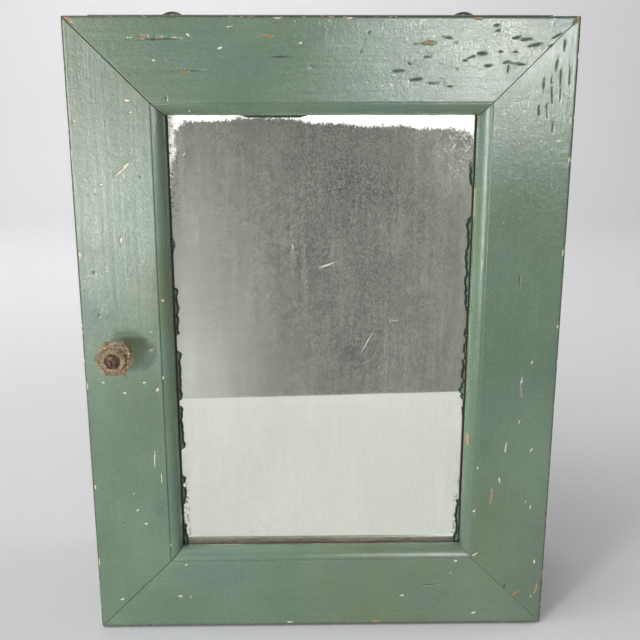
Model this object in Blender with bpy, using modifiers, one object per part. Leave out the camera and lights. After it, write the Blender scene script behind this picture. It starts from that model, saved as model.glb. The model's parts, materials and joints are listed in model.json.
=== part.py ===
"""A wooden medicine cabinet with a mirror door, as separate closed solids.

Metres. +X is the right-hand side, +Y the back and +Z up. The origin is the middle of the carcass's
underside. The door hangs on two butt hinges at its right-hand side, and its pieces are children of an
empty on the hinge axis.
"""

import math

import bmesh
import bpy
from mathutils import Matrix, Vector

MM = 0.001

# Driving sizes of the carcass
CARCASS_WIDTH = 284.5 * MM
CARCASS_HEIGHT = 406.4 * MM
CARCASS_DEPTH = 114.3 * MM
BOARD = 12.7 * MM
SHELF_BOARD = 9.5 * MM
SHELF_SETBACK = 12.0 * MM
BACK_BOARD = 5.0 * MM
TOP_HOUSING = 6.0 * MM
SHELF_HOUSING = 4.0 * MM

# Driving sizes of the door
DOOR_WIDTH = 304.8 * MM
DOOR_HEIGHT = 403.2 * MM
DOOR_BOARD = 22.2 * MM
DOOR_LIFT = 1.4 * MM
DOOR_GAP = 1.2 * MM
FLAT_WIDTH = 49.6 * MM
MOULDING_WIDTH = 7.6 * MM
QUIRK = 0.8 * MM
LIP_FRONT = 8.8 * MM
LIP_BACK = 10.0 * MM
ARRIS = 1.8 * MM
RABBET = 7.0 * MM
MITRE_GAP = 0.3 * MM
MITRE_DOWEL_RADIUS = 3.0 * MM
MITRE_DOWEL_LENGTH = 32.0 * MM

# The mirror's layers, from the lip to the back of the door
GLASS_START = 10.6 * MM
GLASS = 4.5 * MM
SILVERING = 0.2 * MM
BACKING = 2.2 * MM
STOP_WIDTH = 6.0 * MM

# Hinges
HINGE_HEIGHT = 38.0 * MM
HINGE_FROM_END = 84.0 * MM
HINGE_LEAF = 1.2 * MM
HINGE_LEAF_GAP = 0.4 * MM
LEAF_REACH = 15.4 * MM
KNUCKLE_RADIUS = 2.8 * MM
KNUCKLE_BORE = 1.6 * MM
KNUCKLE_STANDOFF = 3.2 * MM
PIN_RADIUS = 1.3 * MM
PIN_HEAD_RADIUS = 2.2 * MM
PIN_HEAD = 1.2 * MM
LEAF_SCREW_OFFSET = 12.0 * MM
LEAF_SCREW_FROM_AXIS = 9.7 * MM

# Knob
KNOB_FROM_EDGE = 22.9 * MM
KNOB_HEIGHT = 200.7 * MM
KNOB_CORNER_RADIUS = 12.5 * MM
KNOB_PROJECTION = 23.0 * MM
KNOB_RING_RADIUS = 7.0 * MM
KNOB_NECK_RADIUS = 6.2 * MM
KNOB_BASE_RADIUS = 8.2 * MM
KNOB_SCREW_RADIUS = 1.9 * MM
KNOB_SCREW_HEAD_RADIUS = 4.1 * MM
KNOB_SCREW_HEAD = 2.3 * MM
KNOB_SCREW_SHANK = 38.0 * MM
KNOB_SLOT = (1.1 * MM, 2.2 * MM, 12.0 * MM)
KNOB_SLOT_TILT = math.radians(-17)

# Hanger plates
HANGER_SPREAD = 105.4 * MM
HANGER_RADIUS = 12.7 * MM
HANGER_RISE = 8.4 * MM
HANGER_DROP = 13.0 * MM
HANGER_PLATE = 1.6 * MM
HANGER_INSET = 0.1 * MM
HANGER_HOLE_RADIUS = 3.2 * MM
HANGER_HOLE_RISE = 3.4 * MM
HANGER_SCREW_OFFSET = 7.5 * MM

# Catch
CATCH_HEIGHT = 232.0 * MM
CATCH_FOOT_HEIGHT = 32.0 * MM
CATCH_FOOT_DEPTH = 10.6 * MM
CATCH_METAL = 1.0 * MM
CATCH_WIDTH = 9.5 * MM
CATCH_MOUTH = 4.6 * MM
CATCH_SCREW_OFFSET = 11.6 * MM
PEG_RADIUS = 1.8 * MM
PEG_LENGTH = 8.8 * MM
STRIKE_WIDTH = 11.0 * MM
STRIKE_HEIGHT = 27.0 * MM
STRIKE_SCREW_OFFSET = 9.2 * MM

# Fasteners
SCREW_HEAD_RADIUS = 2.4 * MM
SCREW_SHANK_RADIUS = 1.2 * MM
SCREW_LENGTH = 9.5 * MM
SCREW_CONE = 1.3 * MM
SCREW_SIDES = 12
NAIL_HEAD_RADIUS = 1.9 * MM
NAIL_SHANK_RADIUS = 0.8 * MM
NAIL_LENGTH = 15.0 * MM
NAIL_HEAD = 0.7 * MM
NAIL_SIDES = 10

CLEARANCE = 0.3 * MM
MERGE = 0.00001
EDGE_ROUND = 0.8 * MM

# Places worked out from the sizes
HALF_WIDTH = CARCASS_WIDTH / 2
HALF_DEPTH = CARCASS_DEPTH / 2
INSIDE = HALF_WIDTH - BOARD
CARCASS_FRONT = -HALF_DEPTH
PANEL_FRONT = HALF_DEPTH - BACK_BOARD
BOARD_BACK = PANEL_FRONT - CLEARANCE
DOOR_BACK = CARCASS_FRONT - DOOR_GAP
DOOR_FRONT = DOOR_BACK - DOOR_BOARD
DOOR_TOP = DOOR_LIFT + DOOR_HEIGHT
MEMBER_WIDTH = FLAT_WIDTH + MOULDING_WIDTH
HINGE_X = HALF_WIDTH + KNUCKLE_STANDOFF
HINGE_Y = CARCASS_FRONT - DOOR_GAP / 2
HINGE_HEIGHTS = {"upper": CARCASS_HEIGHT - HINGE_FROM_END, "lower": HINGE_FROM_END}
COMPARTMENT = (CARCASS_HEIGHT - 2 * BOARD - 2 * SHELF_BOARD) / 3
SHELF_BOTTOMS = {
    "lower": BOARD + COMPARTMENT,
    "upper": BOARD + 2 * COMPARTMENT + SHELF_BOARD,
}
FRONTWARD = Vector((0, -1, 0))
BACKWARD = Vector((0, 1, 0))
RIGHTWARD = Vector((1, 0, 0))
UPWARD = Vector((0, 0, 1))
STAND_UP = Matrix.Rotation(math.pi / 2, 4, "X").to_quaternion()

# Colour, roughness and metallic value of each material
MATERIALS = {
    "green_paint": ((0.20, 0.29, 0.215), 0.3, 0.0),
    "cream_paint": ((0.66, 0.60, 0.46), 0.5, 0.0),
    "bare_wood": ((0.42, 0.27, 0.14), 0.7, 0.0),
    "mirror_glass": ((0.86, 0.92, 0.89), 0.04, 0.0),
    "mirror_silver": ((0.80, 0.81, 0.80), 0.06, 1.0),
    "knob_glass": ((0.78, 0.74, 0.66), 0.05, 0.0),
    "rusty_steel": ((0.13, 0.085, 0.06), 0.7, 0.8),
    "dull_steel": ((0.42, 0.41, 0.39), 0.45, 1.0),
    "aged_brass": ((0.47, 0.34, 0.15), 0.4, 1.0),
}


def clear_scene():
    for ob in list(bpy.data.objects):
        bpy.data.objects.remove(ob)


def add_collection(name):
    collection = bpy.data.collections.new(name)
    bpy.context.scene.collection.children.link(collection)
    return collection


def make_materials():
    made = {}
    for name, (colour, roughness, metallic) in MATERIALS.items():
        material = bpy.data.materials.new(name)
        material.use_nodes = True
        shader = material.node_tree.nodes["Principled BSDF"]
        shader.inputs["Base Color"].default_value = (*colour, 1.0)
        shader.inputs["Roughness"].default_value = roughness
        shader.inputs["Metallic"].default_value = metallic
        material.diffuse_color = (*colour, 1.0)
        made[name] = material
    return made


def place(name, mesh, collection, location=(0, 0, 0), turn=None):
    ob = bpy.data.objects.new(name, mesh)
    ob.location = location
    if turn is not None:
        ob.rotation_mode = "QUATERNION"
        ob.rotation_quaternion = turn
    collection.objects.link(ob)
    return ob


def add_part(name, mesh, material, location=(0, 0, 0), turn=None):
    ob = place(name, mesh, PARTS, location, turn)
    if not mesh.materials:
        mesh.materials.append(MADE[material])
    return ob


def add_cutter(name, mesh, location=(0, 0, 0), turn=None):
    ob = place(name, mesh, CUTTERS, location, turn)
    ob.hide_render = True
    ob.display_type = "WIRE"
    return ob


def baked(ob):
    """A mesh of the object with its modifiers applied and loose caps welded. The object goes."""
    bpy.context.view_layer.update()
    seen = ob.evaluated_get(bpy.context.evaluated_depsgraph_get())
    mesh = bpy.data.meshes.new_from_object(seen)
    mesh.name = ob.name
    bpy.data.objects.remove(ob)
    bm = bmesh.new()
    bm.from_mesh(mesh)
    bmesh.ops.remove_doubles(bm, verts=bm.verts, dist=MERGE)
    bm.to_mesh(mesh)
    bm.free()
    return mesh


def block_mesh(name, size):
    bm = bmesh.new()
    bmesh.ops.create_cube(bm, size=1.0)
    bmesh.ops.scale(bm, vec=size, verts=bm.verts)
    mesh = bpy.data.meshes.new(name)
    bm.to_mesh(mesh)
    bm.free()
    return mesh


def span(x, y, z):
    """The centre and size of a box given by its low and high value on each axis."""
    low, high = Vector((x[0], y[0], z[0])), Vector((x[1], y[1], z[1]))
    return (low + high) / 2, high - low


def block(name, x, y, z, material, edge=EDGE_ROUND):
    centre, size = span(x, y, z)
    ob = add_part(name, block_mesh(name, size), material, centre)
    if edge:
        soften(ob, edge)
    return ob


def block_cutter(name, x, y, z):
    centre, size = span(x, y, z)
    return add_cutter(name, block_mesh(name, size), centre)


def soften(ob, width, segments=1):
    bevel = ob.modifiers.new("Rounded edges", "BEVEL")
    bevel.width = width
    bevel.segments = segments
    bevel.limit_method = "ANGLE"


def rod_mesh(name, radius, length, sides):
    bm = bmesh.new()
    bmesh.ops.create_cone(
        bm,
        cap_ends=True,
        segments=sides,
        radius1=radius,
        radius2=radius,
        depth=length,
    )
    mesh = bpy.data.meshes.new(name)
    bm.to_mesh(mesh)
    bm.free()
    smooth_sides(mesh)
    return mesh


def rod_cutter(name, centre, direction, radius, length, sides=16):
    turn = direction.to_track_quat("Z", "Y")
    return add_cutter(name, rod_mesh(name, radius, length, sides), centre, turn)


def smooth_sides(mesh):
    mesh.shade_smooth()
    mesh.set_sharp_from_angle(angle=math.radians(35))


def turned_mesh(name, profile, sides):
    """Spins a profile of (radius, height) points, listed from the top down, about Z."""
    mesh = bpy.data.meshes.new(name)
    points = [(radius, 0, height) for radius, height in profile]
    edges = [(i, i + 1) for i in range(len(points) - 1)]
    mesh.from_pydata(points, edges, [])
    ob = place(name, mesh, CUTTERS)
    spin = ob.modifiers.new("Spin", "SCREW")
    spin.axis = "Z"
    spin.steps = sides
    spin.render_steps = sides
    spin.use_merge_vertices = True
    spin.merge_threshold = MERGE
    turned = baked(ob)
    smooth_sides(turned)
    return turned


def flat_mesh(name, points, thickness):
    """Extrudes a closed outline of (x, y) points evenly about Z = 0."""
    curve = bpy.data.curves.new(name, "CURVE")
    curve.dimensions = "2D"
    curve.fill_mode = "BOTH"
    curve.extrude = thickness / 2
    curve.render_resolution_u = 0
    spline = curve.splines.new("POLY")
    spline.points.add(len(points) - 1)
    for point, (x, y) in zip(spline.points, points, strict=True):
        point.co = (x, y, 0, 1)
    spline.use_cyclic_u = True
    return baked(place(name, curve, CUTTERS))


def arc(centre, radii, start, end, steps):
    """Points on an elliptic arc, from one angle to another in degrees."""
    found = []
    for i in range(steps + 1):
        angle = math.radians(start + (end - start) * i / steps)
        x = centre[0] + radii[0] * math.cos(angle)
        found.append((x, centre[1] + radii[1] * math.sin(angle)))
    return found


def cut(target, cutter, operation="DIFFERENCE"):
    boolean = target.modifiers.new(cutter.name, "BOOLEAN")
    boolean.operation = operation
    boolean.solver = "EXACT"
    boolean.object = cutter


def screw_profile(grow):
    """A countersunk wood screw's profile, its head's face at height 0, grown by a clearance."""
    head, shank = SCREW_HEAD_RADIUS + grow, SCREW_SHANK_RADIUS + grow
    return [
        (0, grow * 2),
        (head, grow * 2),
        (head, -0.2 * MM),
        (shank, -SCREW_CONE - 0.2 * MM),
        (shank, -SCREW_LENGTH + 2.4 * MM),
        (0, -SCREW_LENGTH - grow),
    ]


def nail_profile(grow):
    head, shank = NAIL_HEAD_RADIUS + grow, NAIL_SHANK_RADIUS + grow
    return [
        (0, grow * 2),
        (head, grow * 2),
        (head, -NAIL_HEAD - grow),
        (shank, -NAIL_HEAD - grow - 0.4 * MM),
        (shank, -NAIL_LENGTH + 2.0 * MM),
        (0, -NAIL_LENGTH - grow),
    ]


def slotted_screw_mesh(name):
    body = place(name, turned_mesh(name, screw_profile(0), SCREW_SIDES), CUTTERS)
    slot = place("slot", block_mesh("slot", (6 * MM, 0.7 * MM, 1.2 * MM)), CUTTERS)
    cut(body, slot)
    mesh = baked(body)
    bpy.data.objects.remove(slot)
    return mesh


def make_fasteners():
    """Each kind's mesh, its material and the mesh that cuts its hole."""
    screw_hole = turned_mesh("screw_hole", screw_profile(CLEARANCE), SCREW_SIDES)
    nail = turned_mesh("nail", nail_profile(0), NAIL_SIDES)
    nail_hole = turned_mesh("nail_hole", nail_profile(CLEARANCE), NAIL_SIDES)
    return {
        "screw": (slotted_screw_mesh("steel_screw"), "dull_steel", screw_hole),
        "brass_screw": (slotted_screw_mesh("brass_screw"), "aged_brass", screw_hole),
        "nail": (nail, "dull_steel", nail_hole),
    }


def drive(name, kind, head, outward, targets):
    """Puts a fastener with its head's face at a point and cuts its hole in each target."""
    turn = outward.to_track_quat("Z", "Y")
    mesh, material, hole_mesh = FASTENERS[kind]
    add_part(name, mesh, material, head, turn)
    hole = add_cutter(name + "_hole", hole_mesh, head, turn)
    for target in targets:
        cut(target, hole)


def build_carcass():
    y = (CARCASS_FRONT, BOARD_BACK)
    boards = {}
    for side, sign in (("left", -1), ("right", 1)):
        x = sorted((sign * INSIDE, sign * HALF_WIDTH))
        boards[side] = block(f"side_{side}", x, y, (0, CARCASS_HEIGHT), "green_paint")
    reach = INSIDE + TOP_HOUSING - CLEARANCE
    levels = {"bottom": (0, BOARD), "top": (CARCASS_HEIGHT - BOARD, CARCASS_HEIGHT)}
    for name, z in levels.items():
        boards[name] = block(f"{name}_board", (-reach, reach), y, z, "green_paint")
    reach = INSIDE + SHELF_HOUSING - CLEARANCE
    shelf_y = (CARCASS_FRONT + SHELF_SETBACK, BOARD_BACK)
    for name, low in SHELF_BOTTOMS.items():
        x, z = (-reach, reach), (low, low + SHELF_BOARD)
        boards[f"shelf_{name}"] = block(f"shelf_{name}", x, shelf_y, z, "cream_paint")
    house_boards(boards)
    width, height = (-HALF_WIDTH, HALF_WIDTH), (0, CARCASS_HEIGHT)
    panel_y = (PANEL_FRONT, HALF_DEPTH)
    boards["back"] = block("back_panel", width, panel_y, height, "bare_wood", 0.4 * MM)
    return boards


def house_boards(boards):
    """Cuts the end rabbets and the stopped shelf housings in the two sides."""
    past = 5 * MM
    deep = INSIDE + TOP_HOUSING
    y = (CARCASS_FRONT - past, HALF_DEPTH)
    low = block_cutter("bottom_housing", (-deep, deep), y, (-past, BOARD + CLEARANCE))
    high = (CARCASS_HEIGHT - BOARD - CLEARANCE, CARCASS_HEIGHT + past)
    cutters = [low, block_cutter("top_housing", (-deep, deep), y, high)]
    deep = INSIDE + SHELF_HOUSING
    y = (CARCASS_FRONT + SHELF_SETBACK - CLEARANCE, HALF_DEPTH)
    for name, bottom in SHELF_BOTTOMS.items():
        z = (bottom - CLEARANCE, bottom + SHELF_BOARD + CLEARANCE)
        cutters.append(block_cutter(f"{name}_shelf_housing", (-deep, deep), y, z))
    for side in ("left", "right"):
        for cutter in cutters:
            cut(boards[side], cutter)


def nail_back(boards):
    inset = BOARD / 2
    side_levels = (45 * MM, CARCASS_HEIGHT / 2, CARCASS_HEIGHT - 45 * MM)
    places = [(side, sign * (HALF_WIDTH - inset), z)
              for side, sign in (("left", -1), ("right", 1)) for z in side_levels]
    places += [("bottom", x, inset) for x in (-62 * MM, 62 * MM)]
    for number, (board, x, z) in enumerate(places, 1):
        head = Vector((x, HALF_DEPTH - 2 * CLEARANCE, z))
        targets = (boards["back"], boards[board])
        drive(f"back_nail_{number}", "nail", head, BACKWARD, targets)


def hanger_outline():
    dome = arc((0, HANGER_RISE - HANGER_RADIUS), (HANGER_RADIUS,) * 2, 0, 180, 16)
    corner = 2.5 * MM
    low, side = -HANGER_DROP + corner, HANGER_RADIUS - corner
    left = arc((-side, low), (corner, corner), 180, 270, 3)
    right = arc((side, low), (corner, corner), 270, 360, 3)
    return dome + left + right


def build_hangers(boards):
    outline = flat_mesh("hanger_plate", hanger_outline(), HANGER_PLATE)
    rear = HALF_DEPTH - HANGER_INSET
    y = rear - HANGER_PLATE / 2
    number = 0
    for side, x in (("left", -HANGER_SPREAD), ("right", HANGER_SPREAD)):
        plate = add_part(
            f"hanger_plate_{side}", outline, "dull_steel", (x, y, CARCASS_HEIGHT), STAND_UP)
        hole = Vector((x, y, CARCASS_HEIGHT + HANGER_HOLE_RISE))
        cut(plate, rod_cutter(f"hanger_hole_{side}", hole, BACKWARD, HANGER_HOLE_RADIUS, BOARD))
        room = HANGER_RADIUS + CLEARANCE
        deep = (rear - HANGER_PLATE - CLEARANCE, HALF_DEPTH + BOARD)
        level = (CARCASS_HEIGHT - HANGER_DROP - CLEARANCE, CARCASS_HEIGHT + BOARD)
        cut(boards["back"], block_cutter(f"hanger_recess_{side}", (x - room, x + room), deep, level))
        for offset in (-HANGER_SCREW_OFFSET, HANGER_SCREW_OFFSET):
            number += 1
            head = Vector((x + offset, rear, CARCASS_HEIGHT - BOARD / 2))
            targets = (plate, boards["back"], boards["top"])
            drive(f"hanger_screw_{number}", "screw", head, BACKWARD, targets)


def member_profile():
    """A door member's section, as (distance from the outer edge, depth from the face)."""
    rabbet = MEMBER_WIDTH - RABBET
    outer = arc((ARRIS, ARRIS), (ARRIS, ARRIS), 180, 270, 3)
    ovolo = arc(
        (FLAT_WIDTH, LIP_FRONT), (MOULDING_WIDTH, LIP_FRONT - QUIRK), -90, 0, 6)
    lip = [(MEMBER_WIDTH, LIP_BACK), (rabbet, LIP_BACK), (rabbet, DOOR_BOARD)]
    return outer + [(FLAT_WIDTH, 0)] + ovolo + lip + [(0, DOOR_BOARD)]


def mitred_mesh(name, length):
    """A member lying along X, its outer edge at Z = 0 and its face at Y = 0."""
    mesh = flat_mesh(name, member_profile(), length + MEMBER_WIDTH)
    bm = bmesh.new()
    bm.from_mesh(mesh)
    along = Matrix(((0, 0, -1, 0), (0, 1, 0, 0), (1, 0, 0, 0), (0, 0, 0, 1)))
    bmesh.ops.transform(bm, matrix=along, verts=bm.verts)
    for end in (-1, 1):
        normal = Vector((end, 0, 1)).normalized()
        corner = Vector((end * length / 2, 0, 0)) - normal * MITRE_GAP / 2
        geometry = bm.verts[:] + bm.edges[:] + bm.faces[:]
        bmesh.ops.bisect_plane(
            bm, geom=geometry, plane_co=corner, plane_no=normal, clear_outer=True)
        bmesh.ops.holes_fill(bm, edges=[edge for edge in bm.edges if edge.is_boundary])
    bmesh.ops.recalc_face_normals(bm, faces=bm.faces)
    bm.to_mesh(mesh)
    bm.free()
    smooth_sides(mesh)
    return mesh


def build_frame():
    half_width = DOOR_WIDTH / 2
    middle = DOOR_LIFT + DOOR_HEIGHT / 2
    members = {
        "door_rail_bottom": (DOOR_WIDTH, (0, DOOR_FRONT, DOOR_LIFT), 0),
        "door_stile_right": (DOOR_HEIGHT, (half_width, DOOR_FRONT, middle), -90),
        "door_rail_top": (DOOR_WIDTH, (0, DOOR_FRONT, DOOR_TOP), 180),
        "door_stile_left": (DOOR_HEIGHT, (-half_width, DOOR_FRONT, middle), 90),
    }
    made = {}
    for name, (length, location, degrees) in members.items():
        turn = Matrix.Rotation(math.radians(degrees), 4, "Y").to_quaternion()
        mesh = mitred_mesh(name, length)
        made[name] = add_part(name, mesh, "green_paint", location, turn)
    pin_mitres(made)
    return made


def pin_mitres(members):
    inset = MEMBER_WIDTH * 0.46
    y = DOOR_FRONT + DOOR_BOARD * 0.62
    corners = [(x, z) for z in (DOOR_LIFT, DOOR_TOP) for x in (-DOOR_WIDTH / 2, DOOR_WIDTH / 2)]
    middle = DOOR_LIFT + DOOR_HEIGHT / 2
    for number, (x, z) in enumerate(corners, 1):
        side = -1 if x < 0 else 1
        rise = -1 if z < middle else 1
        centre = Vector((x - side * inset, y, z - rise * inset))
        across = Vector((side, 0, -rise)).normalized()
        name = f"mitre_dowel_{number}"
        turn = across.to_track_quat("Z", "Y")
        mesh = rod_mesh(name, MITRE_DOWEL_RADIUS, MITRE_DOWEL_LENGTH, 12)
        add_part(name, mesh, "bare_wood", centre, turn)
        radius = MITRE_DOWEL_RADIUS + CLEARANCE
        length = MITRE_DOWEL_LENGTH + 2 * CLEARANCE
        hole = rod_cutter(name + "_hole", centre, across, radius, length, 12)
        stile = "left" if x < 0 else "right"
        rail = "bottom" if z < middle else "top"
        cut(members[f"door_stile_{stile}"], hole)
        cut(members[f"door_rail_{rail}"], hole)


def build_mirror():
    reach = MEMBER_WIDTH - RABBET + 0.5 * MM
    x = (-DOOR_WIDTH / 2 + reach, DOOR_WIDTH / 2 - reach)
    z = (DOOR_LIFT + reach, DOOR_TOP - reach)
    layers = (
        ("mirror_glass", GLASS, "mirror_glass"),
        ("mirror_silvering", SILVERING, "mirror_silver"),
        ("mirror_backing", BACKING, "bare_wood"),
    )
    depth = GLASS_START
    for name, thickness, material in layers:
        y = (DOOR_FRONT + depth, DOOR_FRONT + depth + thickness)
        block(name, x, y, z, material, 0)
        depth += thickness + CLEARANCE
    build_stops(x, z, (DOOR_FRONT + depth, DOOR_BACK - CLEARANCE))


def build_stops(x, z, y):
    inner = STOP_WIDTH + CLEARANCE
    side_z = (z[0] + inner, z[1] - inner)
    block("mirror_stop_bottom", x, y, (z[0], z[0] + STOP_WIDTH), "bare_wood", 0.4 * MM)
    block("mirror_stop_top", x, y, (z[1] - STOP_WIDTH, z[1]), "bare_wood", 0.4 * MM)
    block("mirror_stop_left", (x[0], x[0] + STOP_WIDTH), y, side_z, "bare_wood", 0.4 * MM)
    block("mirror_stop_right", (x[1] - STOP_WIDTH, x[1]), y, side_z, "bare_wood", 0.4 * MM)


def leaf_outline(knuckles, low):
    """A leaf about the hinge's centre: a plate with a tab at each of its knuckles.

    A corner where a tab meets the plate's own corner is named twice and drops out.
    """
    plate_edge = -KNUCKLE_RADIUS - 0.6 * MM
    half = HINGE_HEIGHT / 2
    points = [(plate_edge, half), (low, half), (low, -half), (plate_edge, -half)]
    for start, end in knuckles:
        points += [(plate_edge, start), (0, start), (0, end), (plate_edge, end)]
    kept = []
    for point in points:
        if point in kept:
            kept.remove(point)
        else:
            kept.append(point)
    return kept


def hinge_leaf(name, centre, knuckles, side, bore):
    """A leaf on one side of the hinge plane: side is 1 behind it and -1 in front of it."""
    outline = leaf_outline(knuckles, -LEAF_REACH)
    mesh = flat_mesh(name, outline, HINGE_LEAF)
    offset = Vector((0, side * (HINGE_LEAF_GAP + HINGE_LEAF) / 2, 0))
    leaf = add_part(name, mesh, "aged_brass", centre + offset, STAND_UP)
    for number, (start, end) in enumerate(knuckles, 1):
        middle = centre + UPWARD * (start + end) / 2
        knuckle = rod_cutter(
            f"{name}_knuckle_{number}", middle, UPWARD, KNUCKLE_RADIUS, end - start)
        cut(leaf, knuckle, "UNION")
    cut(leaf, bore)
    return leaf


def pin_profile():
    end = HINGE_HEIGHT / 2 + CLEARANCE
    half = [(0, end + PIN_HEAD), (PIN_HEAD_RADIUS * 0.7, end + PIN_HEAD * 0.8),
            (PIN_HEAD_RADIUS, end), (PIN_RADIUS, end)]
    return half + [(radius, -height) for radius, height in reversed(half)]


def build_hinges(boards, members):
    third = HINGE_HEIGHT / 3
    half, gap = HINGE_HEIGHT / 2, CLEARANCE / 2
    middle_knuckle = [(-third / 2 + gap, third / 2 - gap)]
    end_knuckles = [(-half, -third / 2 - gap), (third / 2 + gap, half)]
    number = 0
    for level, z in HINGE_HEIGHTS.items():
        centre = Vector((HINGE_X, HINGE_Y, z))
        bore = rod_cutter(f"{level}_hinge_bore", centre, UPWARD, KNUCKLE_BORE, HINGE_HEIGHT * 2)
        fixed = hinge_leaf(f"hinge_leaf_carcass_{level}", centre, end_knuckles, 1, bore)
        moving = hinge_leaf(f"hinge_leaf_door_{level}", centre, middle_knuckle, -1, bore)
        mesh = turned_mesh(f"hinge_pin_{level}", pin_profile(), 12)
        add_part(f"hinge_pin_{level}", mesh, "aged_brass", centre)
        mortise_leaves(level, z, boards["right"], members["door_stile_right"])
        for offset in (-LEAF_SCREW_OFFSET, LEAF_SCREW_OFFSET):
            number += 1
            x = HINGE_X - LEAF_SCREW_FROM_AXIS
            face = HINGE_LEAF_GAP / 2
            head = Vector((x, HINGE_Y + face, z + offset))
            targets = (fixed, boards["right"])
            drive(f"carcass_leaf_screw_{number}", "brass_screw", head, FRONTWARD, targets)
            head = Vector((x, HINGE_Y - face, z + offset))
            targets = (moving, members["door_stile_right"])
            drive(f"door_leaf_screw_{number}", "brass_screw", head, BACKWARD, targets)


def mortise_leaves(level, z, side_board, stile):
    """Lets both leaves into the wood and clears the knuckles behind the door's edge."""
    depth = HINGE_LEAF_GAP / 2 + HINGE_LEAF + CLEARANCE
    height = (z - HINGE_HEIGHT / 2 - CLEARANCE, z + HINGE_HEIGHT / 2 + CLEARANCE)
    left = HINGE_X - LEAF_REACH - CLEARANCE
    past = BOARD
    fixed_y = (HINGE_Y - past, HINGE_Y + depth)
    cut(side_board, block_cutter(f"{level}_side_mortise", (left - past, HINGE_X), fixed_y, height))
    moving_y = (HINGE_Y - depth, HINGE_Y + past)
    cut(stile, block_cutter(f"{level}_door_mortise", (left, HINGE_X), moving_y, height))
    length = HINGE_HEIGHT + 2 * (PIN_HEAD + 2 * CLEARANCE)
    radius = KNUCKLE_RADIUS + 0.5 * MM
    centre = Vector((HINGE_X, HINGE_Y, z))
    cut(stile, rod_cutter(f"{level}_knuckle_groove", centre, UPWARD, radius, length, 24))


def knob_profiles():
    """The hexagonal body's profile and the round neck's, as (radius, height above the door)."""
    top = KNOB_PROJECTION
    body = [
        (0, top - 0.6 * MM),
        (KNOB_RING_RADIUS * 1.16, top - 0.6 * MM),
        (KNOB_CORNER_RADIUS * 0.93, top - 2.6 * MM),
        (KNOB_CORNER_RADIUS, top - 4.2 * MM),
        (KNOB_CORNER_RADIUS, top - 8.0 * MM),
        (KNOB_CORNER_RADIUS * 0.86, top - 11.2 * MM),
        (KNOB_NECK_RADIUS, top - 13.4 * MM),
        (0, top - 13.4 * MM),
    ]
    neck = [
        (0, top - 11.5 * MM),
        (KNOB_NECK_RADIUS, top - 11.5 * MM),
        (KNOB_NECK_RADIUS, 3.6 * MM),
        (KNOB_BASE_RADIUS, 1.6 * MM),
        (KNOB_BASE_RADIUS, CLEARANCE),
        (0, CLEARANCE),
    ]
    return body, neck


def knob_screw_profile(grow):
    seat = KNOB_PROJECTION + CLEARANCE
    shank = KNOB_SCREW_RADIUS + grow
    dome = arc((0, seat), (KNOB_SCREW_HEAD_RADIUS, KNOB_SCREW_HEAD), 90, 0, 4)
    tip = seat - KNOB_SCREW_SHANK
    return dome + [(shank, seat), (shank, tip + 4 * MM), (0, tip - grow)]


def build_knob(stile):
    place_of_knob = Vector((-DOOR_WIDTH / 2 + KNOB_FROM_EDGE, DOOR_FRONT, KNOB_HEIGHT))
    body, neck = knob_profiles()
    mesh = turned_mesh("knob_glass", body, 6)
    mesh.shade_flat()
    knob = add_part("knob_glass", mesh, "knob_glass", place_of_knob, STAND_UP)
    neck_mesh = turned_mesh("knob_neck", neck, 20)
    neck_piece = add_cutter("knob_neck", neck_mesh, place_of_knob, STAND_UP)
    cut(knob, neck_piece, "UNION")
    ring = place_of_knob + FRONTWARD * (KNOB_PROJECTION - 1 * MM)
    cut(knob, rod_cutter("knob_ring", ring, FRONTWARD, KNOB_RING_RADIUS, 2 * MM, 24), "UNION")
    screw_mesh = turned_mesh("knob_screw", knob_screw_profile(0), 16)
    screw = add_part("knob_screw", screw_mesh, "rusty_steel", place_of_knob, STAND_UP)
    slot_place = place_of_knob + FRONTWARD * (KNOB_PROJECTION + KNOB_SCREW_HEAD)
    slot = add_cutter("knob_slot", block_mesh("knob_slot", KNOB_SLOT), slot_place)
    slot.rotation_euler = (0, KNOB_SLOT_TILT, 0)
    cut(screw, slot)
    room = KNOB_SCREW_RADIUS + CLEARANCE
    deep = KNOB_SCREW_SHANK + 1 * MM
    bore = place_of_knob + FRONTWARD * (KNOB_PROJECTION + 1 * MM - deep / 2)
    hole = rod_cutter("knob_bore", bore, FRONTWARD, room, deep, 16)
    cut(knob, hole)
    cut(stile, hole)


def catch_outline():
    """The clip's two fingers in Y and Z, joined at the back and flared at the mouth."""
    front, back = CARCASS_FRONT + 0.9 * MM, CARCASS_FRONT + 10.6 * MM
    half = CATCH_MOUTH / 2
    inner = [(front, half + 0.9 * MM), (front + 2.4 * MM, half), (back - 3 * MM, half + 0.7 * MM)]
    outer = [(front, half + 0.9 * MM + CATCH_METAL), (front + 2.4 * MM, half + CATCH_METAL),
             (back - 2 * MM, half + 0.7 * MM + CATCH_METAL)]
    web = arc((back - 2.6 * MM, 0), (1.6 * MM, half + 0.5 * MM), 60, -60, 4)
    shell = arc((back - 2 * MM, 0), (2 * MM, half + 0.7 * MM + CATCH_METAL), 70, -70, 5)
    lower_inner = [(y, -z) for y, z in reversed(inner)]
    lower_outer = [(y, -z) for y, z in outer]
    return inner + web + lower_inner + lower_outer + list(reversed(shell)) + list(reversed(outer))


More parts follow.
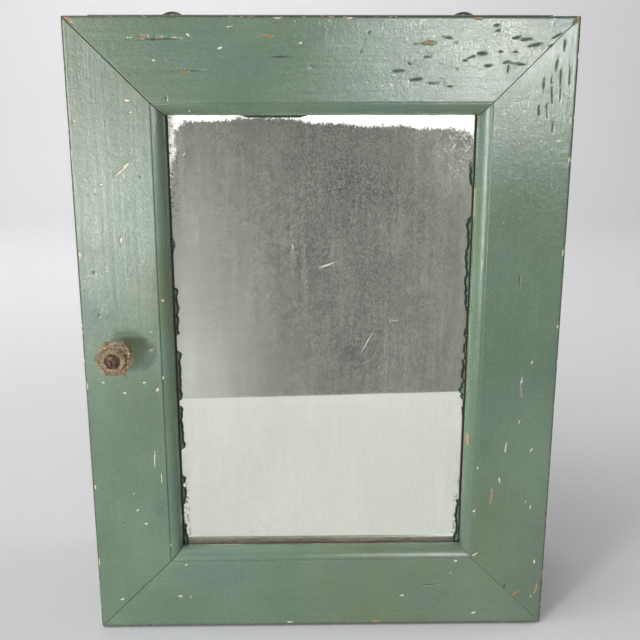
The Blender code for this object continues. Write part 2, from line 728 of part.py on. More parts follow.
def build_catch(boards, members):
    foot_x = -INSIDE + CLEARANCE
    foot_y = (CARCASS_FRONT + 0.6 * MM, CARCASS_FRONT + 0.6 * MM + CATCH_FOOT_DEPTH)
    foot_z = (CATCH_HEIGHT - CATCH_FOOT_HEIGHT / 2, CATCH_HEIGHT + CATCH_FOOT_HEIGHT / 2)
    clip = block("catch_clip", (foot_x, foot_x + CATCH_METAL), foot_y, foot_z, "dull_steel", 0)
    fingers = flat_mesh("catch_fingers", catch_outline(), CATCH_WIDTH)
    lay = Matrix(((0, 0, 1), (1, 0, 0), (0, 1, 0))).to_quaternion()
    centre = (foot_x + CATCH_METAL / 2 + CATCH_WIDTH / 2, 0, CATCH_HEIGHT)
    cut(clip, add_cutter("catch_fingers", fingers, centre, lay), "UNION")
    for number, offset in enumerate((-CATCH_SCREW_OFFSET, CATCH_SCREW_OFFSET), 1):
        middle = (foot_y[0] + foot_y[1]) / 2
        head = Vector((foot_x + CATCH_METAL, middle, CATCH_HEIGHT + offset))
        drive(f"catch_clip_screw_{number}", "screw", head, RIGHTWARD, (clip, boards["left"]))
    build_strike(foot_x + CATCH_METAL / 2 + CATCH_WIDTH / 2, members["door_stile_left"])


def build_strike(x, stile):
    half_width, half_height = STRIKE_WIDTH / 2, STRIKE_HEIGHT / 2
    wide = (x - half_width, x + half_width)
    tall = (CATCH_HEIGHT - half_height, CATCH_HEIGHT + half_height)
    deep = (DOOR_BACK - CATCH_METAL, DOOR_BACK)
    strike = block("catch_strike", wide, deep, tall, "dull_steel", 0)
    tip = [(0, PEG_LENGTH), (PEG_RADIUS * 0.7, PEG_LENGTH - 0.4 * MM),
           (PEG_RADIUS, PEG_LENGTH - 1.4 * MM), (PEG_RADIUS, -0.5 * MM), (0, -0.5 * MM)]
    turn = BACKWARD.to_track_quat("Z", "Y")
    peg_mesh = turned_mesh("strike_peg", tip, 14)
    peg = add_cutter("strike_peg", peg_mesh, (x, DOOR_BACK, CATCH_HEIGHT), turn)
    cut(strike, peg, "UNION")
    wide = (wide[0] - CLEARANCE, wide[1] + CLEARANCE)
    tall = (tall[0] - CLEARANCE, tall[1] + CLEARANCE)
    deep = (deep[0] - CLEARANCE, DOOR_BACK + BOARD)
    cut(stile, block_cutter("strike_mortise", wide, deep, tall))
    for number, offset in enumerate((-STRIKE_SCREW_OFFSET, STRIKE_SCREW_OFFSET), 1):
        head = Vector((x, DOOR_BACK, CATCH_HEIGHT + offset))
        drive(f"catch_strike_screw_{number}", "screw", head, BACKWARD, (strike, stile))


def hang_door():
    """Parents every door piece to an empty on the hinge axis."""
    axis = bpy.data.objects.new("door_hinge_axis", None)
    axis.location = (HINGE_X, HINGE_Y, 0)
    axis.empty_display_size = 30 * MM
    PARTS.objects.link(axis)
    starts = ("door_", "mitre_", "mirror_", "knob_", "catch_strike", "hinge_leaf_door")
    for ob in list(PARTS.objects):
        if ob.name.startswith(starts) and ob != axis:
            ob.parent = axis
            ob.matrix_parent_inverse = Matrix.Translation(axis.location).inverted()


clear_scene()
PARTS = add_collection("medicine_cabinet")
CUTTERS = add_collection("cutters")
MADE = make_materials()
FASTENERS = make_fasteners()

carcass = build_carcass()
nail_back(carcass)
build_hangers(carcass)
frame_members = build_frame()
build_mirror()
build_hinges(carcass, frame_members)
build_knob(frame_members["door_stile_left"])
build_catch(carcass, frame_members)
hang_door()
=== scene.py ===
"""The looks of a vintage painted medicine cabinet with a mirror door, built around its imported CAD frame.

Metres. +X is the object's right, -Y its front and +Z up.
"""

import json
import math
import random

import bmesh
import bpy
import numpy as np
from mathutils import Matrix, Vector, noise


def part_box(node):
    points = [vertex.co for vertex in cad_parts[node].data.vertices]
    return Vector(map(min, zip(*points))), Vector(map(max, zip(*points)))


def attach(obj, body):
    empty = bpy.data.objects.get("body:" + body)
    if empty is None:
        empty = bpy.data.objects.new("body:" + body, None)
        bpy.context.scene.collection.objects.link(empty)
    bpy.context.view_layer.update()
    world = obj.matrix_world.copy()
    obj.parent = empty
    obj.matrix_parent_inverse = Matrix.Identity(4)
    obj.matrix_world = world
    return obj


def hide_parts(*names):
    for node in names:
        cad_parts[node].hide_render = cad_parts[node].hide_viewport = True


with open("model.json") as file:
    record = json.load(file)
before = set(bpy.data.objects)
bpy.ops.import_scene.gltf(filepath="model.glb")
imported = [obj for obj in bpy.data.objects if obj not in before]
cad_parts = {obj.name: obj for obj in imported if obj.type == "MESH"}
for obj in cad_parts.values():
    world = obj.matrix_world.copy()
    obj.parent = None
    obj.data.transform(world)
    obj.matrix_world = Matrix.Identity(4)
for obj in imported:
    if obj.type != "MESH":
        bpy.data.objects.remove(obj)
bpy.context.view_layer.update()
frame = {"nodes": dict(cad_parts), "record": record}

MM = 0.001
NODES = frame["nodes"]
RECORD_SLOTS = {part["node"]: part["material_slot"] for part in frame["record"]["subparts"]}

# The door's places, from the frame
DOOR_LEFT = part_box("door_stile_left")[0].x
DOOR_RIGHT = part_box("door_stile_right")[1].x
DOOR_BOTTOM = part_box("door_rail_bottom")[0].z
DOOR_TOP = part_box("door_rail_top")[1].z
DOOR_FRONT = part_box("door_rail_top")[0].y
DOOR_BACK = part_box("door_rail_top")[1].y
DOOR_WIDTH = DOOR_RIGHT - DOOR_LEFT
DOOR_HEIGHT = DOOR_TOP - DOOR_BOTTOM
DOOR_BOARD = DOOR_BACK - DOOR_FRONT

# The door members' section
MEMBER = 57.2 * MM
FLAT = 49.6 * MM
QUIRK = 0.8 * MM
LIP_FRONT = 8.8 * MM
LIP_BACK = 10.0 * MM
RABBET = 7.0 * MM
ARRIS = 1.6 * MM
GRID = 0.6 * MM

# What is let into the door's back
CLEARANCE = 0.3 * MM
POCKET_WALL = 0.04 * MM
LEAF_POCKET = 1.1 * MM
STRIKE_POCKET = 1.3 * MM
PIN_GROOVE = 3.3 * MM

# The knob's screw, its head as a share of the CAD head's radius
SCREW_HEAD_SHARE = 0.88
SCREW_DOME = 2.3 * MM
SCREW_SHANK = 1.9 * MM
SCREW_SLOT = (1.15 * MM, 2.6 * MM, 12 * MM)
SLOT_DEGREES = -17

# The opening's edges on the door
OPEN_LEFT = DOOR_LEFT + MEMBER
OPEN_RIGHT = DOOR_RIGHT - MEMBER
OPEN_BOTTOM = DOOR_BOTTOM + MEMBER
OPEN_TOP = DOOR_TOP - MEMBER

# How high the paint on the glass reaches along its two sides
LEFT_PAINT_TOP = DOOR_BOTTOM + 275 * MM
RIGHT_PAINT_TOP = DOOR_BOTTOM + 320 * MM

# Colours, linear
GREEN = (0.185, 0.270, 0.180, 1)
GREEN_DEEP = (0.135, 0.210, 0.135, 1)
GREEN_OLIVE = (0.150, 0.195, 0.110, 1)
GREEN_BLUE = (0.130, 0.205, 0.185, 1)
GREENS = (GREEN, GREEN_DEEP, GREEN_OLIVE, GREEN_BLUE)
GREEN_DARK = (0.022, 0.034, 0.022, 1)
# Near black: dark flecks of paint, and the painted reflection along the smear's rim on the glass
FLECK_AND_SMEAR_SHADE = (0.008, 0.014, 0.010, 1)
CREAM = (0.84, 0.77, 0.58, 1)
BARE_WOOD = (0.42, 0.19, 0.055, 1)
WOOD_PALE = (0.44, 0.29, 0.16, 1)
WOOD_DEEP = (0.24, 0.135, 0.06, 1)
INSIDE_CREAM = (0.62, 0.57, 0.43, 1)
YELLOWED = (0.50, 0.44, 0.31, 1)
SHELF_TONES = (INSIDE_CREAM, (0.52, 0.47, 0.35, 1), YELLOWED, YELLOWED)
# Dark brown: real grime in patches, and painted shade along the door's outer edge
GRIME_AND_EDGE_SHADE = (0.040, 0.032, 0.022, 1)
# The lip's bare wood, and a near black that is painted shade of the rabbet, on the lip and along the
# glass's sides
LIP_BROWN = (0.180, 0.078, 0.033, 1)
LIP_DARK = (0.030, 0.015, 0.009, 1)
PANE_TINT = (0.965, 0.975, 0.955, 1)
SILVER = (0.83, 0.82, 0.78, 1)
DUST = (0.72, 0.71, 0.68, 1)
BLEACHED = (0.86, 0.86, 0.84, 1)
BLEACHED_DULL = (0.42, 0.42, 0.40, 1)
BLOOM_BROWN = (0.110, 0.078, 0.050, 1)
SPECK_BLACK = (0.015, 0.014, 0.012, 1)
KNOB_TINT = (1.0, 0.93, 0.80, 1)
KNOB_SHADE = (0.20, 0.21, 0.17, 1)
KNOB_TAN = (0.92, 0.74, 0.53, 1)
KNOB_TAN_DEEP = (0.24, 0.125, 0.055, 1)
KNOB_HOLLOW_DARK = (0.040, 0.018, 0.008, 1)
STEEL, STEEL_RUST = (0.085, 0.080, 0.074, 1), (0.050, 0.026, 0.014, 1)
BRASS, BRASS_TARNISH = (0.42, 0.29, 0.12, 1), (0.10, 0.07, 0.04, 1)
SCREW_STEEL, SCREW_RUST = (0.20, 0.15, 0.12, 1), (0.10, 0.04, 0.018, 1)
TABLE = (0.82, 0.81, 0.82, 1)
SKY = (0.93, 0.95, 1.0, 1)


# ---------------------------------------------------------------- material helpers


class Tree:
    """A material's node tree, with short calls that add a node and return its output."""

    def __init__(self, name):
        self.material = bpy.data.materials.new(name)
        self.material.use_nodes = True
        self.nodes = self.material.node_tree.nodes
        self.links = self.material.node_tree.links
        self.nodes.clear()

    def set(self, socket, value):
        if isinstance(value, bpy.types.NodeSocket):
            self.links.new(value, socket)
        else:
            socket.default_value = value

    def add(self, kind, inputs=None, **settings):
        node = self.nodes.new(kind)
        for key, value in settings.items():
            setattr(node, key, value)
        for key, value in (inputs or {}).items():
            self.set(node.inputs[key], value)
        return node

    def place(self):
        return self.add("ShaderNodeTexCoord").outputs["Object"]

    def split(self, vector):
        return self.add("ShaderNodeSeparateXYZ", {0: vector}).outputs

    def math(self, operation, a, b=0.0, clamp=False):
        node = self.add("ShaderNodeMath", {0: a, 1: b}, operation=operation, use_clamp=clamp)
        return node.outputs[0]

    def plus(self, a, b, clamp=False):
        return self.math("ADD", a, b, clamp)

    def minus(self, a, b, clamp=False):
        return self.math("SUBTRACT", a, b, clamp)

    def times(self, a, b):
        return self.math("MULTIPLY", a, b)

    def most(self, a, b):
        return self.math("MAXIMUM", a, b)

    def least(self, a, b):
        return self.math("MINIMUM", a, b)

    def absolute(self, value):
        return self.math("ABSOLUTE", value)

    def swing(self, noise_value, amount):
        """Turns a noise from 0 to 1 into a push either way, of up to half the amount."""
        return self.times(self.minus(noise_value, 0.5), amount)

    def stretch(self, vector, scale):
        node = self.add("ShaderNodeVectorMath", {0: vector, 1: scale}, operation="MULTIPLY")
        return node.outputs[0]

    def noise(self, vector, scale, detail=3.0, roughness=0.5):
        inputs = {"Vector": vector, "Scale": scale, "Detail": detail, "Roughness": roughness}
        return self.add("ShaderNodeTexNoise", inputs).outputs[0]

    def cells(self, vector, scale, output="Distance"):
        inputs = {"Vector": vector, "Scale": scale}
        return self.add("ShaderNodeTexVoronoi", inputs).outputs[output]

    def ramp(self, value, low, high, start=0.0, end=1.0):
        inputs = {0: value, 1: low, 2: high, 3: start, 4: end}
        return self.add("ShaderNodeMapRange", inputs, clamp=True).outputs[0]

    def mix(self, factor, a, b):
        node = self.add("ShaderNodeMix", data_type="RGBA")
        for index, value in ((0, factor), (6, a), (7, b)):
            self.set(node.inputs[index], value)
        return node.outputs[2]

    def attribute(self, name):
        return self.add("ShaderNodeAttribute", attribute_name=name).outputs["Fac"]

    def bump(self, height, distance, strength=1.0):
        inputs = {"Height": height, "Distance": distance, "Strength": strength}
        return self.add("ShaderNodeBump", inputs).outputs[0]

    def principled(self, **inputs):
        named = {key.replace("_", " "): value for key, value in inputs.items()}
        return self.add("ShaderNodeBsdfPrincipled", named).outputs[0]

    def blend(self, factor, a, b):
        node = self.add("ShaderNodeMixShader", {0: factor, 1: a, 2: b})
        return node.outputs[0]

    def finish(self, shader):
        output = self.add("ShaderNodeOutputMaterial", {0: shader})
        output.is_active_output = True
        return self.material


# How space is squeezed along an axis, so that a noise turns into strokes or grain along it
ALONG = {"X": (0.03, 1, 1), "Z": (1, 1, 0.03)}


def chipped(t, place, lengthwise, paint):
    """The paint's colour with its marks on it, painted shade in its dents and along its outer edge, how
    far it is worn off, and how deep its dents are.
    """
    ragged = t.swing(t.noise(place, 900, 5, 0.65), 1.25)
    feather = t.swing(t.noise(lengthwise, 1500, 4, 0.7), 1.6)
    dent = t.plus(t.plus(t.attribute("dent"), feather), t.times(ragged, 0.5))
    dent = t.ramp(dent, 0.58, 0.74)
    chip = t.plus(t.attribute("chip"), ragged)
    rims = t.ramp(chip, 0.36, 0.46)
    chips = t.ramp(chip, 0.47, 0.53)
    bare = t.ramp(t.plus(t.attribute("bare"), ragged), 0.44, 0.52)
    specks = t.ramp(t.plus(t.cells(place, 230), t.times(ragged, 0.25)), 0.05, 0.02)
    specks = t.times(specks, t.ramp(t.cells(place, 230, "Color"), 0.86, 0.88))
    # Dents are painted dark green: painted shade, as they catch none of the glare.
    paint = t.mix(t.times(dent, 0.80), paint, GREEN_DARK)
    paint = t.mix(t.times(rims, 0.6), paint, GREEN_DARK)
    paint = t.mix(t.most(chips, specks), paint, CREAM)
    fibre = t.noise(lengthwise, 2400, 3, 0.6)
    paint = t.mix(bare, paint, t.mix(fibre, BARE_WOOD, WOOD_PALE))
    raw = t.attribute("raw")
    # The unpainted lip and rabbet: bare brown wood, darkened toward near black as painted shade of the
    # rabbet.
    paint = t.mix(raw, paint, t.mix(t.ramp(fibre, 0.35, 0.70), LIP_BROWN, LIP_DARK))
    dashes = t.ramp(t.noise(lengthwise, 900, 3, 0.6), 0.56, 0.62)
    rim = t.ramp(t.absolute(t.minus(raw, 0.3)), 0.28, 0.18)
    paint = t.mix(t.times(rim, dashes), paint, CREAM)
    # The outer arris is darkened to near black: painted shade along the door's outer edge.
    edge = t.ramp(t.plus(t.attribute("edge"), ragged), 0.20, 0.70, 0, 0.88)
    paint = t.mix(t.times(edge, t.minus(1.0, bare)), paint, GRIME_AND_EDGE_SHADE)
    worn = t.most(t.most(chips, bare), raw)
    return paint, worn, dent


def brushed_colour(t, place, lengthwise, strokes, tones):
    """Paint that varies in slow patches over the piece and in streaks along its strokes."""
    light, deep, stain, cool = tones
    tone = t.plus(t.times(t.noise(place, 13, 4, 0.55), 1.2), t.times(strokes, 0.45))
    paint = t.mix(t.ramp(tone, 0.62, 1.05), deep, light)
    paint = t.mix(t.ramp(t.noise(place, 8, 3, 0.5), 0.50, 0.68, 0, 0.75), paint, stain)
    paint = t.mix(t.ramp(t.noise(place, 19, 4, 0.6), 0.52, 0.66, 0, 0.55), paint, cool)
    paint = t.mix(t.ramp(t.noise(place, 60, 6, 0.7), 0.60, 0.78, 0, 0.24), paint, GRIME_AND_EDGE_SHADE)
    streaks = t.noise(lengthwise, 420, 5, 0.7)
    return t.mix(t.ramp(streaks, 0.62, 0.80, 0, 0.28), paint, GREEN_DARK)


def painted(name, along, tones=GREENS, inside=None):
    """Brushed gloss paint over cream undercoat and wood, worn where the piece's marks say."""
    t = Tree(name)
    place = t.place()
    lengthwise = t.stretch(place, ALONG[along])
    strokes = t.noise(lengthwise, 1000, 4, 0.6)
    speckle = t.noise(place, 1150, 3, 0.7)
    paint = brushed_colour(t, place, lengthwise, strokes, tones)
    if inside is not None:
        paint = t.mix(inside(t, place), paint, INSIDE_CREAM)
    colour, worn, dent = chipped(t, place, lengthwise, paint)
    shine = t.ramp(t.noise(place, 38, 5, 0.6), 0.3, 0.7, 0.20, 0.28)
    shine = t.plus(shine, t.ramp(speckle, 0.35, 0.65, -0.10, 0.11))
    rough = t.plus(shine, t.times(t.most(worn, dent), 0.42))
    film = t.plus(t.times(strokes, 0.10), t.times(speckle, 0.17))
    film = t.plus(film, t.times(t.noise(lengthwise, 240, 3, 0.45), 0.30))
    film = t.plus(film, t.times(t.noise(place, 330, 2, 0.5), 0.16))
    depth = t.minus(film, t.times(worn, 0.30))
    normal = t.bump(t.minus(depth, t.times(dent, 0.2)), 0.6 * MM)
    upright = t.add("ShaderNodeCombineXYZ", {0: 0.02, 2: 1.0}).outputs[0]
    quarter_turn = 0.25 if along == "Z" else 0.0
    return t.finish(t.principled(
        Base_Color=colour, Roughness=rough, Normal=normal, Tangent=upright,
        Anisotropic=0.8, Anisotropic_Rotation=quarter_turn))


def bare_wood(name, along, painted_side=None):
    """Aged softwood, its grain running along one axis."""
    t = Tree(name)
    place = t.place()
    bend = t.times(t.noise(place, 6, 2, 0.5), 0.03)
    warped = t.add("ShaderNodeVectorMath", {0: place, 1: bend}, operation="ADD").outputs[0]
    grain = t.noise(t.stretch(warped, ALONG[along]), 130, 7, 0.62)
    fibre = t.noise(t.stretch(place, ALONG[along]), 1900, 3, 0.6)
    colour = t.mix(t.ramp(grain, 0.30, 0.66), WOOD_DEEP, WOOD_PALE)
    colour = t.mix(t.ramp(fibre, 0.45, 0.75, 0, 0.45), colour, WOOD_DEEP)
    colour = t.mix(t.ramp(t.noise(place, 16, 4, 0.6), 0.55, 0.8, 0, 0.5), colour, GRIME_AND_EDGE_SHADE)
    if painted_side is not None:
        colour = t.mix(painted_side(t, place), colour, INSIDE_CREAM)
    rough = t.ramp(fibre, 0.2, 0.8, 0.62, 0.85)
    normal = t.bump(t.plus(grain, fibre), 0.2 * MM, 0.8)
    return t.finish(t.principled(Base_Color=colour, Roughness=rough, Normal=normal))


def aged_metal(name, clean, tarnish, rust_from, roughness, metallic=1.0):
    """Metal whose tarnish or rust spreads in patches, rougher where it is thick."""
    t = Tree(name)
    place = t.place()
    patches = t.noise(place, 180, 6, 0.68)
    pits = t.noise(place, 2200, 3, 0.6)
    spread = t.ramp(t.plus(patches, t.times(pits, 0.25)), rust_from, rust_from + 0.2)
    colour = t.mix(spread, clean, tarnish)
    rough = t.plus(roughness, t.times(spread, 0.3))
    metal = t.minus(metallic, t.times(spread, 0.6), clamp=True)
    normal = t.bump(t.plus(patches, pits), 0.1 * MM, 0.7)
    shader = t.principled(Base_Color=colour, Roughness=rough, Metallic=metal, Normal=normal)
    return t.finish(shader)


def clear_glass(t, colour, shade_colour, roughness, normal=None):
    """Glass that bends sight but lets lamps through, so that what lies behind it is lit."""
    inputs = {"Color": colour, "Roughness": roughness, "IOR": 1.5}
    if normal is not None:
        inputs["Normal"] = normal
    glass = t.add("ShaderNodeBsdfGlass", inputs).outputs[0]
    through = t.add("ShaderNodeBsdfTransparent", {"Color": shade_colour}).outputs[0]
    shadow = t.add("ShaderNodeLightPath").outputs["Is Shadow Ray"]
    return t.blend(shadow, glass, through)


def paint_over_glass(t, place, fine):
    """Where paint ran over the glass along its sides and its top, and how far in from its rim."""
    x, _, z = t.split(place)
    upward = t.stretch(place, (0.2, 0, 1))
    strips = t.ramp(t.noise(upward, 34, 3, 0.55), 0.45, 0.50, -1.8 * MM, 1.9 * MM)
    swell = t.ramp(t.noise(upward, 110, 2, 0.5), 0.35, 0.65, 0, 2.2 * MM)
    reach = t.plus(t.plus(strips, t.swing(fine, 1.1 * MM)), swell)
    from_left = t.minus(reach, t.minus(x, OPEN_LEFT))
    from_right = t.minus(reach, t.minus(OPEN_RIGHT, x))
    below_left = t.ramp(z, LEFT_PAINT_TOP, LEFT_PAINT_TOP - 13 * MM)
    below_right = t.ramp(z, RIGHT_PAINT_TOP, RIGHT_PAINT_TOP - 8 * MM)
    left = t.times(t.ramp(from_left, 0, 0.1 * MM), below_left)
    right = t.times(t.ramp(from_right, 0, 0.1 * MM), below_right)
    from_middle = t.absolute(t.minus(x, OPEN_LEFT + 66 * MM))
    smear = t.ramp(from_middle, 26 * MM, 16 * MM, -1.5 * MM, 1.6 * MM)
    smear = t.plus(smear, t.swing(fine, MM))
    top = t.ramp(t.minus(smear, t.minus(OPEN_TOP, z)), 0, 0.1 * MM)
    within = t.most(t.most(from_left, from_right), t.times(top, MM))
    return t.most(t.most(left, right), top), within


def pane_material():
    """The mirror's glass. Paint, a dark band of painted shade where the lip meets it, and flecks lie on
    its front, close to its edges.
    """
    t = Tree("old_pane")
    place = t.place()
    x, _, z = t.split(place)
    fine = t.noise(place, 900, 4, 0.6)
    paint, within = paint_over_glass(t, place, fine)
    facing = t.split(t.add("ShaderNodeNewGeometry").outputs["Normal"])[1]
    front = t.math("LESS_THAN", facing, -0.5)
    from_side = t.least(t.minus(x, OPEN_LEFT), t.minus(OPEN_RIGHT, x))
    # A near-black band on the glass's front along its two sides: painted shade where the lip meets the
    # glass.
    lip_shade_band = t.ramp(t.plus(from_side, t.times(fine, MM)), 1.6 * MM, 1.2 * MM)
    lip_shade_band = t.times(lip_shade_band, front)
    beside = t.times(t.ramp(from_side, 5.5 * MM, 2.5 * MM), front)
    beside = t.times(beside, t.ramp(z, OPEN_BOTTOM + 50 * MM, OPEN_BOTTOM + 36 * MM))
    flecks = t.ramp(t.noise(t.stretch(place, (1, 1, 0.6)), 620, 3, 0.6), 0.57, 0.60)
    flecks = t.times(flecks, beside)
    mask = t.most(t.most(t.times(paint, front), lip_shade_band), flecks)
    # The smear is near black along its inner rim: painted reflection of its shaded back in the silvering.
    colour = t.mix(t.ramp(within, 1.0 * MM, 1.4 * MM), FLECK_AND_SMEAR_SHADE, GREEN_DEEP)
    colour = t.mix(lip_shade_band, colour, LIP_DARK)
    colour = t.mix(flecks, colour, FLECK_AND_SMEAR_SHADE)
    slop = t.principled(
        Base_Color=colour, Roughness=0.55, Specular_IOR_Level=0.25,
        Normal=t.bump(fine, 0.3 * MM, 0.8))
    glass = clear_glass(t, PANE_TINT, PANE_TINT, 0.0)
    return t.finish(t.blend(mask, glass, slop))


def desilvered(t, place):
    """How far the silvering has gone: a ragged band along the top and down the upper left."""
    x, _, z = t.split(place)
    fuzz = t.swing(t.noise(t.stretch(place, (1, 1, 0.45)), 850, 6, 0.85), 13 * MM)
    drift = t.swing(t.noise(place, 45, 4, 0.6), 6 * MM)
    top_band = t.ramp(x, OPEN_LEFT + 70 * MM, OPEN_RIGHT - 15 * MM, 3.8 * MM, 8.4 * MM)
    thin = t.ramp(t.absolute(t.minus(x, OPEN_LEFT + 60 * MM)), 30 * MM, 8 * MM)
    top_band = t.minus(top_band, t.times(thin, 2.4 * MM))
    left_band = t.ramp(z, DOOR_BOTTOM + 262 * MM, DOOR_BOTTOM + 335 * MM, -2.6 * MM, 5 * MM)
    right_band = t.ramp(z, DOOR_BOTTOM + 328 * MM, DOOR_BOTTOM + 345 * MM, -3 * MM, 3 * MM)
    down = t.minus(OPEN_TOP, z)
    from_left = t.minus(x, OPEN_LEFT)
    from_right = t.minus(OPEN_RIGHT, x)
    lost = t.most(t.minus(top_band, down), t.minus(left_band, from_left))
    lost = t.most(lost, t.minus(right_band, from_right))
    for inward in (from_left, from_right):
        corner = t.minus(15 * MM, t.plus(inward, down))
        lost = t.most(lost, t.times(corner, 0.7))
    return t.ramp(t.plus(lost, t.plus(fuzz, drift)), -0.5 * MM, 0.9 * MM)


def streak(t, x, z, mark):
    """1 inside one thin spindle-shaped mark on the mirror, given as the door's marks are."""
    across_mm, up_mm, long_way, wide, degrees = mark
    cosine, sine = math.cos(math.radians(degrees)), math.sin(math.radians(degrees))
    dx = t.minus(x, DOOR_LEFT + across_mm * MM)
    dz = t.minus(z, DOOR_BOTTOM + up_mm * MM)
    along = t.plus(t.times(dx, cosine), t.times(dz, sine))
    across = t.minus(t.times(dz, cosine), t.times(dx, sine))
    along = t.math("POWER", t.absolute(t.math("DIVIDE", along, long_way * MM / 2)), 2.0)
    across = t.absolute(t.math("DIVIDE", across, wide * MM / 2))
    return t.ramp(t.plus(along, across), 1.0, 0.5)


MIRROR_MARKS = [
    (156, 252, 14, 1.6, 18), (67, 322, 3, 1.6, 30), (134, 264, 5, 1.4, 95), (118, 232, 2.6, 1.6, 60),
    (110, 233, 2.6, 1.2, 100), (104, 279, 2.2, 1.8, 0), (88, 268, 2, 1.4, 0), (92, 258, 2, 1.4, 40),
    (182, 200, 22, 0.7, 62), (200, 215, 8, 0.8, 10),
]


def dust_and_scratches(t, place, corner):
    """How dull the silver is: dots, grain and wiped streaks, scratches, and motes in one corner."""
    x, _, z = t.split(place)
    dots = t.ramp(t.cells(place, 210), 0.17, 0.06)
    dots = t.times(dots, t.ramp(t.cells(place, 210, "Color"), 0.56, 0.72))
    grain = t.ramp(t.noise(place, 1100, 4, 0.8), 0.44, 0.72, 0.0, 0.22)
    wipes = t.noise(t.stretch(place, (1, 1, 0.04)), 340, 5, 0.7)
    cloud = t.noise(place, 20, 5, 0.65)
    haze = t.plus(grain, t.ramp(wipes, 0.45, 0.75, 0, 0.06))
    haze = t.plus(haze, t.ramp(cloud, 0.45, 0.75, 0, 0.03))
    haze = t.most(t.times(dots, 0.5), haze)
    for mark in MIRROR_MARKS:
        haze = t.most(t.times(streak(t, x, z, mark), 0.38), haze)
    motes = t.ramp(t.noise(place, 1050, 3, 0.7), 0.52, 0.68, 0, 0.50)
    return t.plus(haze, t.times(corner, motes), clamp=True)


def silver_material():
    """Old silvering: dusty all over, browned in its upper right corner, white and fuzzy at its edge."""
    t = Tree("old_silvering")
    place = t.place()
    x, _, z = t.split(place)
    corner = t.times(t.ramp(x, OPEN_RIGHT - 46 * MM, OPEN_RIGHT - 6 * MM),
                     t.ramp(z, OPEN_TOP - 62 * MM, OPEN_TOP - 18 * MM))
    mirror = t.principled(Base_Color=SILVER, Metallic=1.0, Roughness=0.02)
    veil = t.principled(Base_Color=DUST, Roughness=0.6)
    shader = t.blend(dust_and_scratches(t, place, corner), mirror, veil)
    bloom = t.times(corner, t.ramp(t.noise(place, 75, 6, 0.75), 0.42, 0.60, 0, 0.30))
    shader = t.blend(bloom, shader, t.principled(Base_Color=BLOOM_BROWN, Roughness=0.6))
    mottle = t.ramp(t.noise(t.stretch(place, (0.3, 1, 1)), 500, 6, 0.8), 0.34, 0.58)
    white = t.principled(Base_Color=t.mix(mottle, BLEACHED_DULL, BLEACHED), Roughness=0.7)
    shader = t.blend(desilvered(t, place), shader, white)
    near = t.ramp(t.minus(x, OPEN_LEFT), 9 * MM, 2 * MM)
    near = t.times(near, t.ramp(z, OPEN_TOP - 78 * MM, OPEN_TOP - 50 * MM))
    specks = t.times(near, t.ramp(t.noise(place, 620, 6, 0.7), 0.56, 0.60))
    black = t.principled(Base_Color=SPECK_BLACK, Roughness=0.5)
    return t.finish(t.blend(specks, shader, black))


def knob_hollows(t, place):
    """1 in the knob's two ring-shaped grooves and down its neck, where it is darker."""
    low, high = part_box("knob_glass")
    x, y, z = t.split(place)
    dx = t.minus(x, (low.x + high.x) / 2)
    dz = t.minus(z, (low.z + high.z) / 2)
    out = t.math("SQRT", t.plus(t.times(dx, dx), t.times(dz, dz)))
    inner = t.ramp(t.absolute(t.minus(out, 4.3 * MM)), 0.8 * MM, 0.5 * MM)
    outer = t.ramp(t.absolute(t.minus(out, 8.4 * MM)), 0.6 * MM, 0.2 * MM)
    front = t.ramp(y, low.y + 4 * MM, low.y + 3 * MM)
    rings = t.times(t.most(inner, t.times(outer, 0.8)), front)
    neck = t.ramp(y, low.y + 9 * MM, low.y + 14 * MM, 0, 0.55)
    return t.most(rings, neck)


def knob_glass_material():
    """Pressed glass, stained tan by the rusty screw, darker in its hollows."""
    t = Tree("pressed_glass")
    place = t.place()
    ripple = t.plus(t.noise(place, 300, 3, 0.5), t.times(t.cells(place, 360), 0.9))
    normal = t.bump(ripple, 2.2 * MM, 0.7)
    clear = clear_glass(t, KNOB_TINT, KNOB_SHADE, 0.03, normal)
    mottle = t.noise(place, 420, 4, 0.7)
    tan = t.mix(t.ramp(mottle, 0.40, 0.58), KNOB_TAN_DEEP, KNOB_TAN)
    darker_hollows = knob_hollows(t, place)
    # Darker in the grooves and toward the neck.
    tan = t.mix(t.times(darker_hollows, 0.92), tan, KNOB_HOLLOW_DARK)
    film = t.principled(Base_Color=tan, Roughness=0.10, Normal=normal)
    share = t.most(t.ramp(mottle, 0.40, 0.62, 0.52, 0.24), t.times(darker_hollows, 0.85))
    return t.finish(t.blend(share, clear, film))


# ---------------------------------------------------------------- mesh helpers


def add_piece(name, mesh, body, material):
    """A new visual piece of one material, riding on one of the frame's bodies."""
    ob = bpy.data.objects.new(name, mesh)
    bpy.context.scene.collection.objects.link(ob)
    mesh.materials.clear()
    mesh.materials.append(material)
    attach(ob, body)
    return ob


def shade(mesh, degrees):
    mesh.shade_smooth()
    mesh.set_sharp_from_angle(angle=math.radians(degrees))


def arc(centre, radii, start, end, steps):
    """Points on an ellipse from one angle to another, in degrees."""
    found = []
    for i in range(steps + 1):
        angle = math.radians(start + (end - start) * i / steps)
        x = centre[0] + radii[0] * math.cos(angle)
        found.append((x, centre[1] + radii[1] * math.sin(angle)))
    return found


def circle(radius, y, count=48):
    """A ring around the Y axis."""
    found = []
    for i in range(count):
        angle = 2 * math.pi * i / count
        found.append((radius * math.cos(angle), y, radius * math.sin(angle)))
    return found


def straight(start, end, step):
    """Points from start up to but not including end, evenly spaced."""
    run = math.dist(start, end)
    count = max(1, round(run / step))
    return [(start[0] + (end[0] - start[0]) * i / count,
             start[1] + (end[1] - start[1]) * i / count) for i in range(count)]


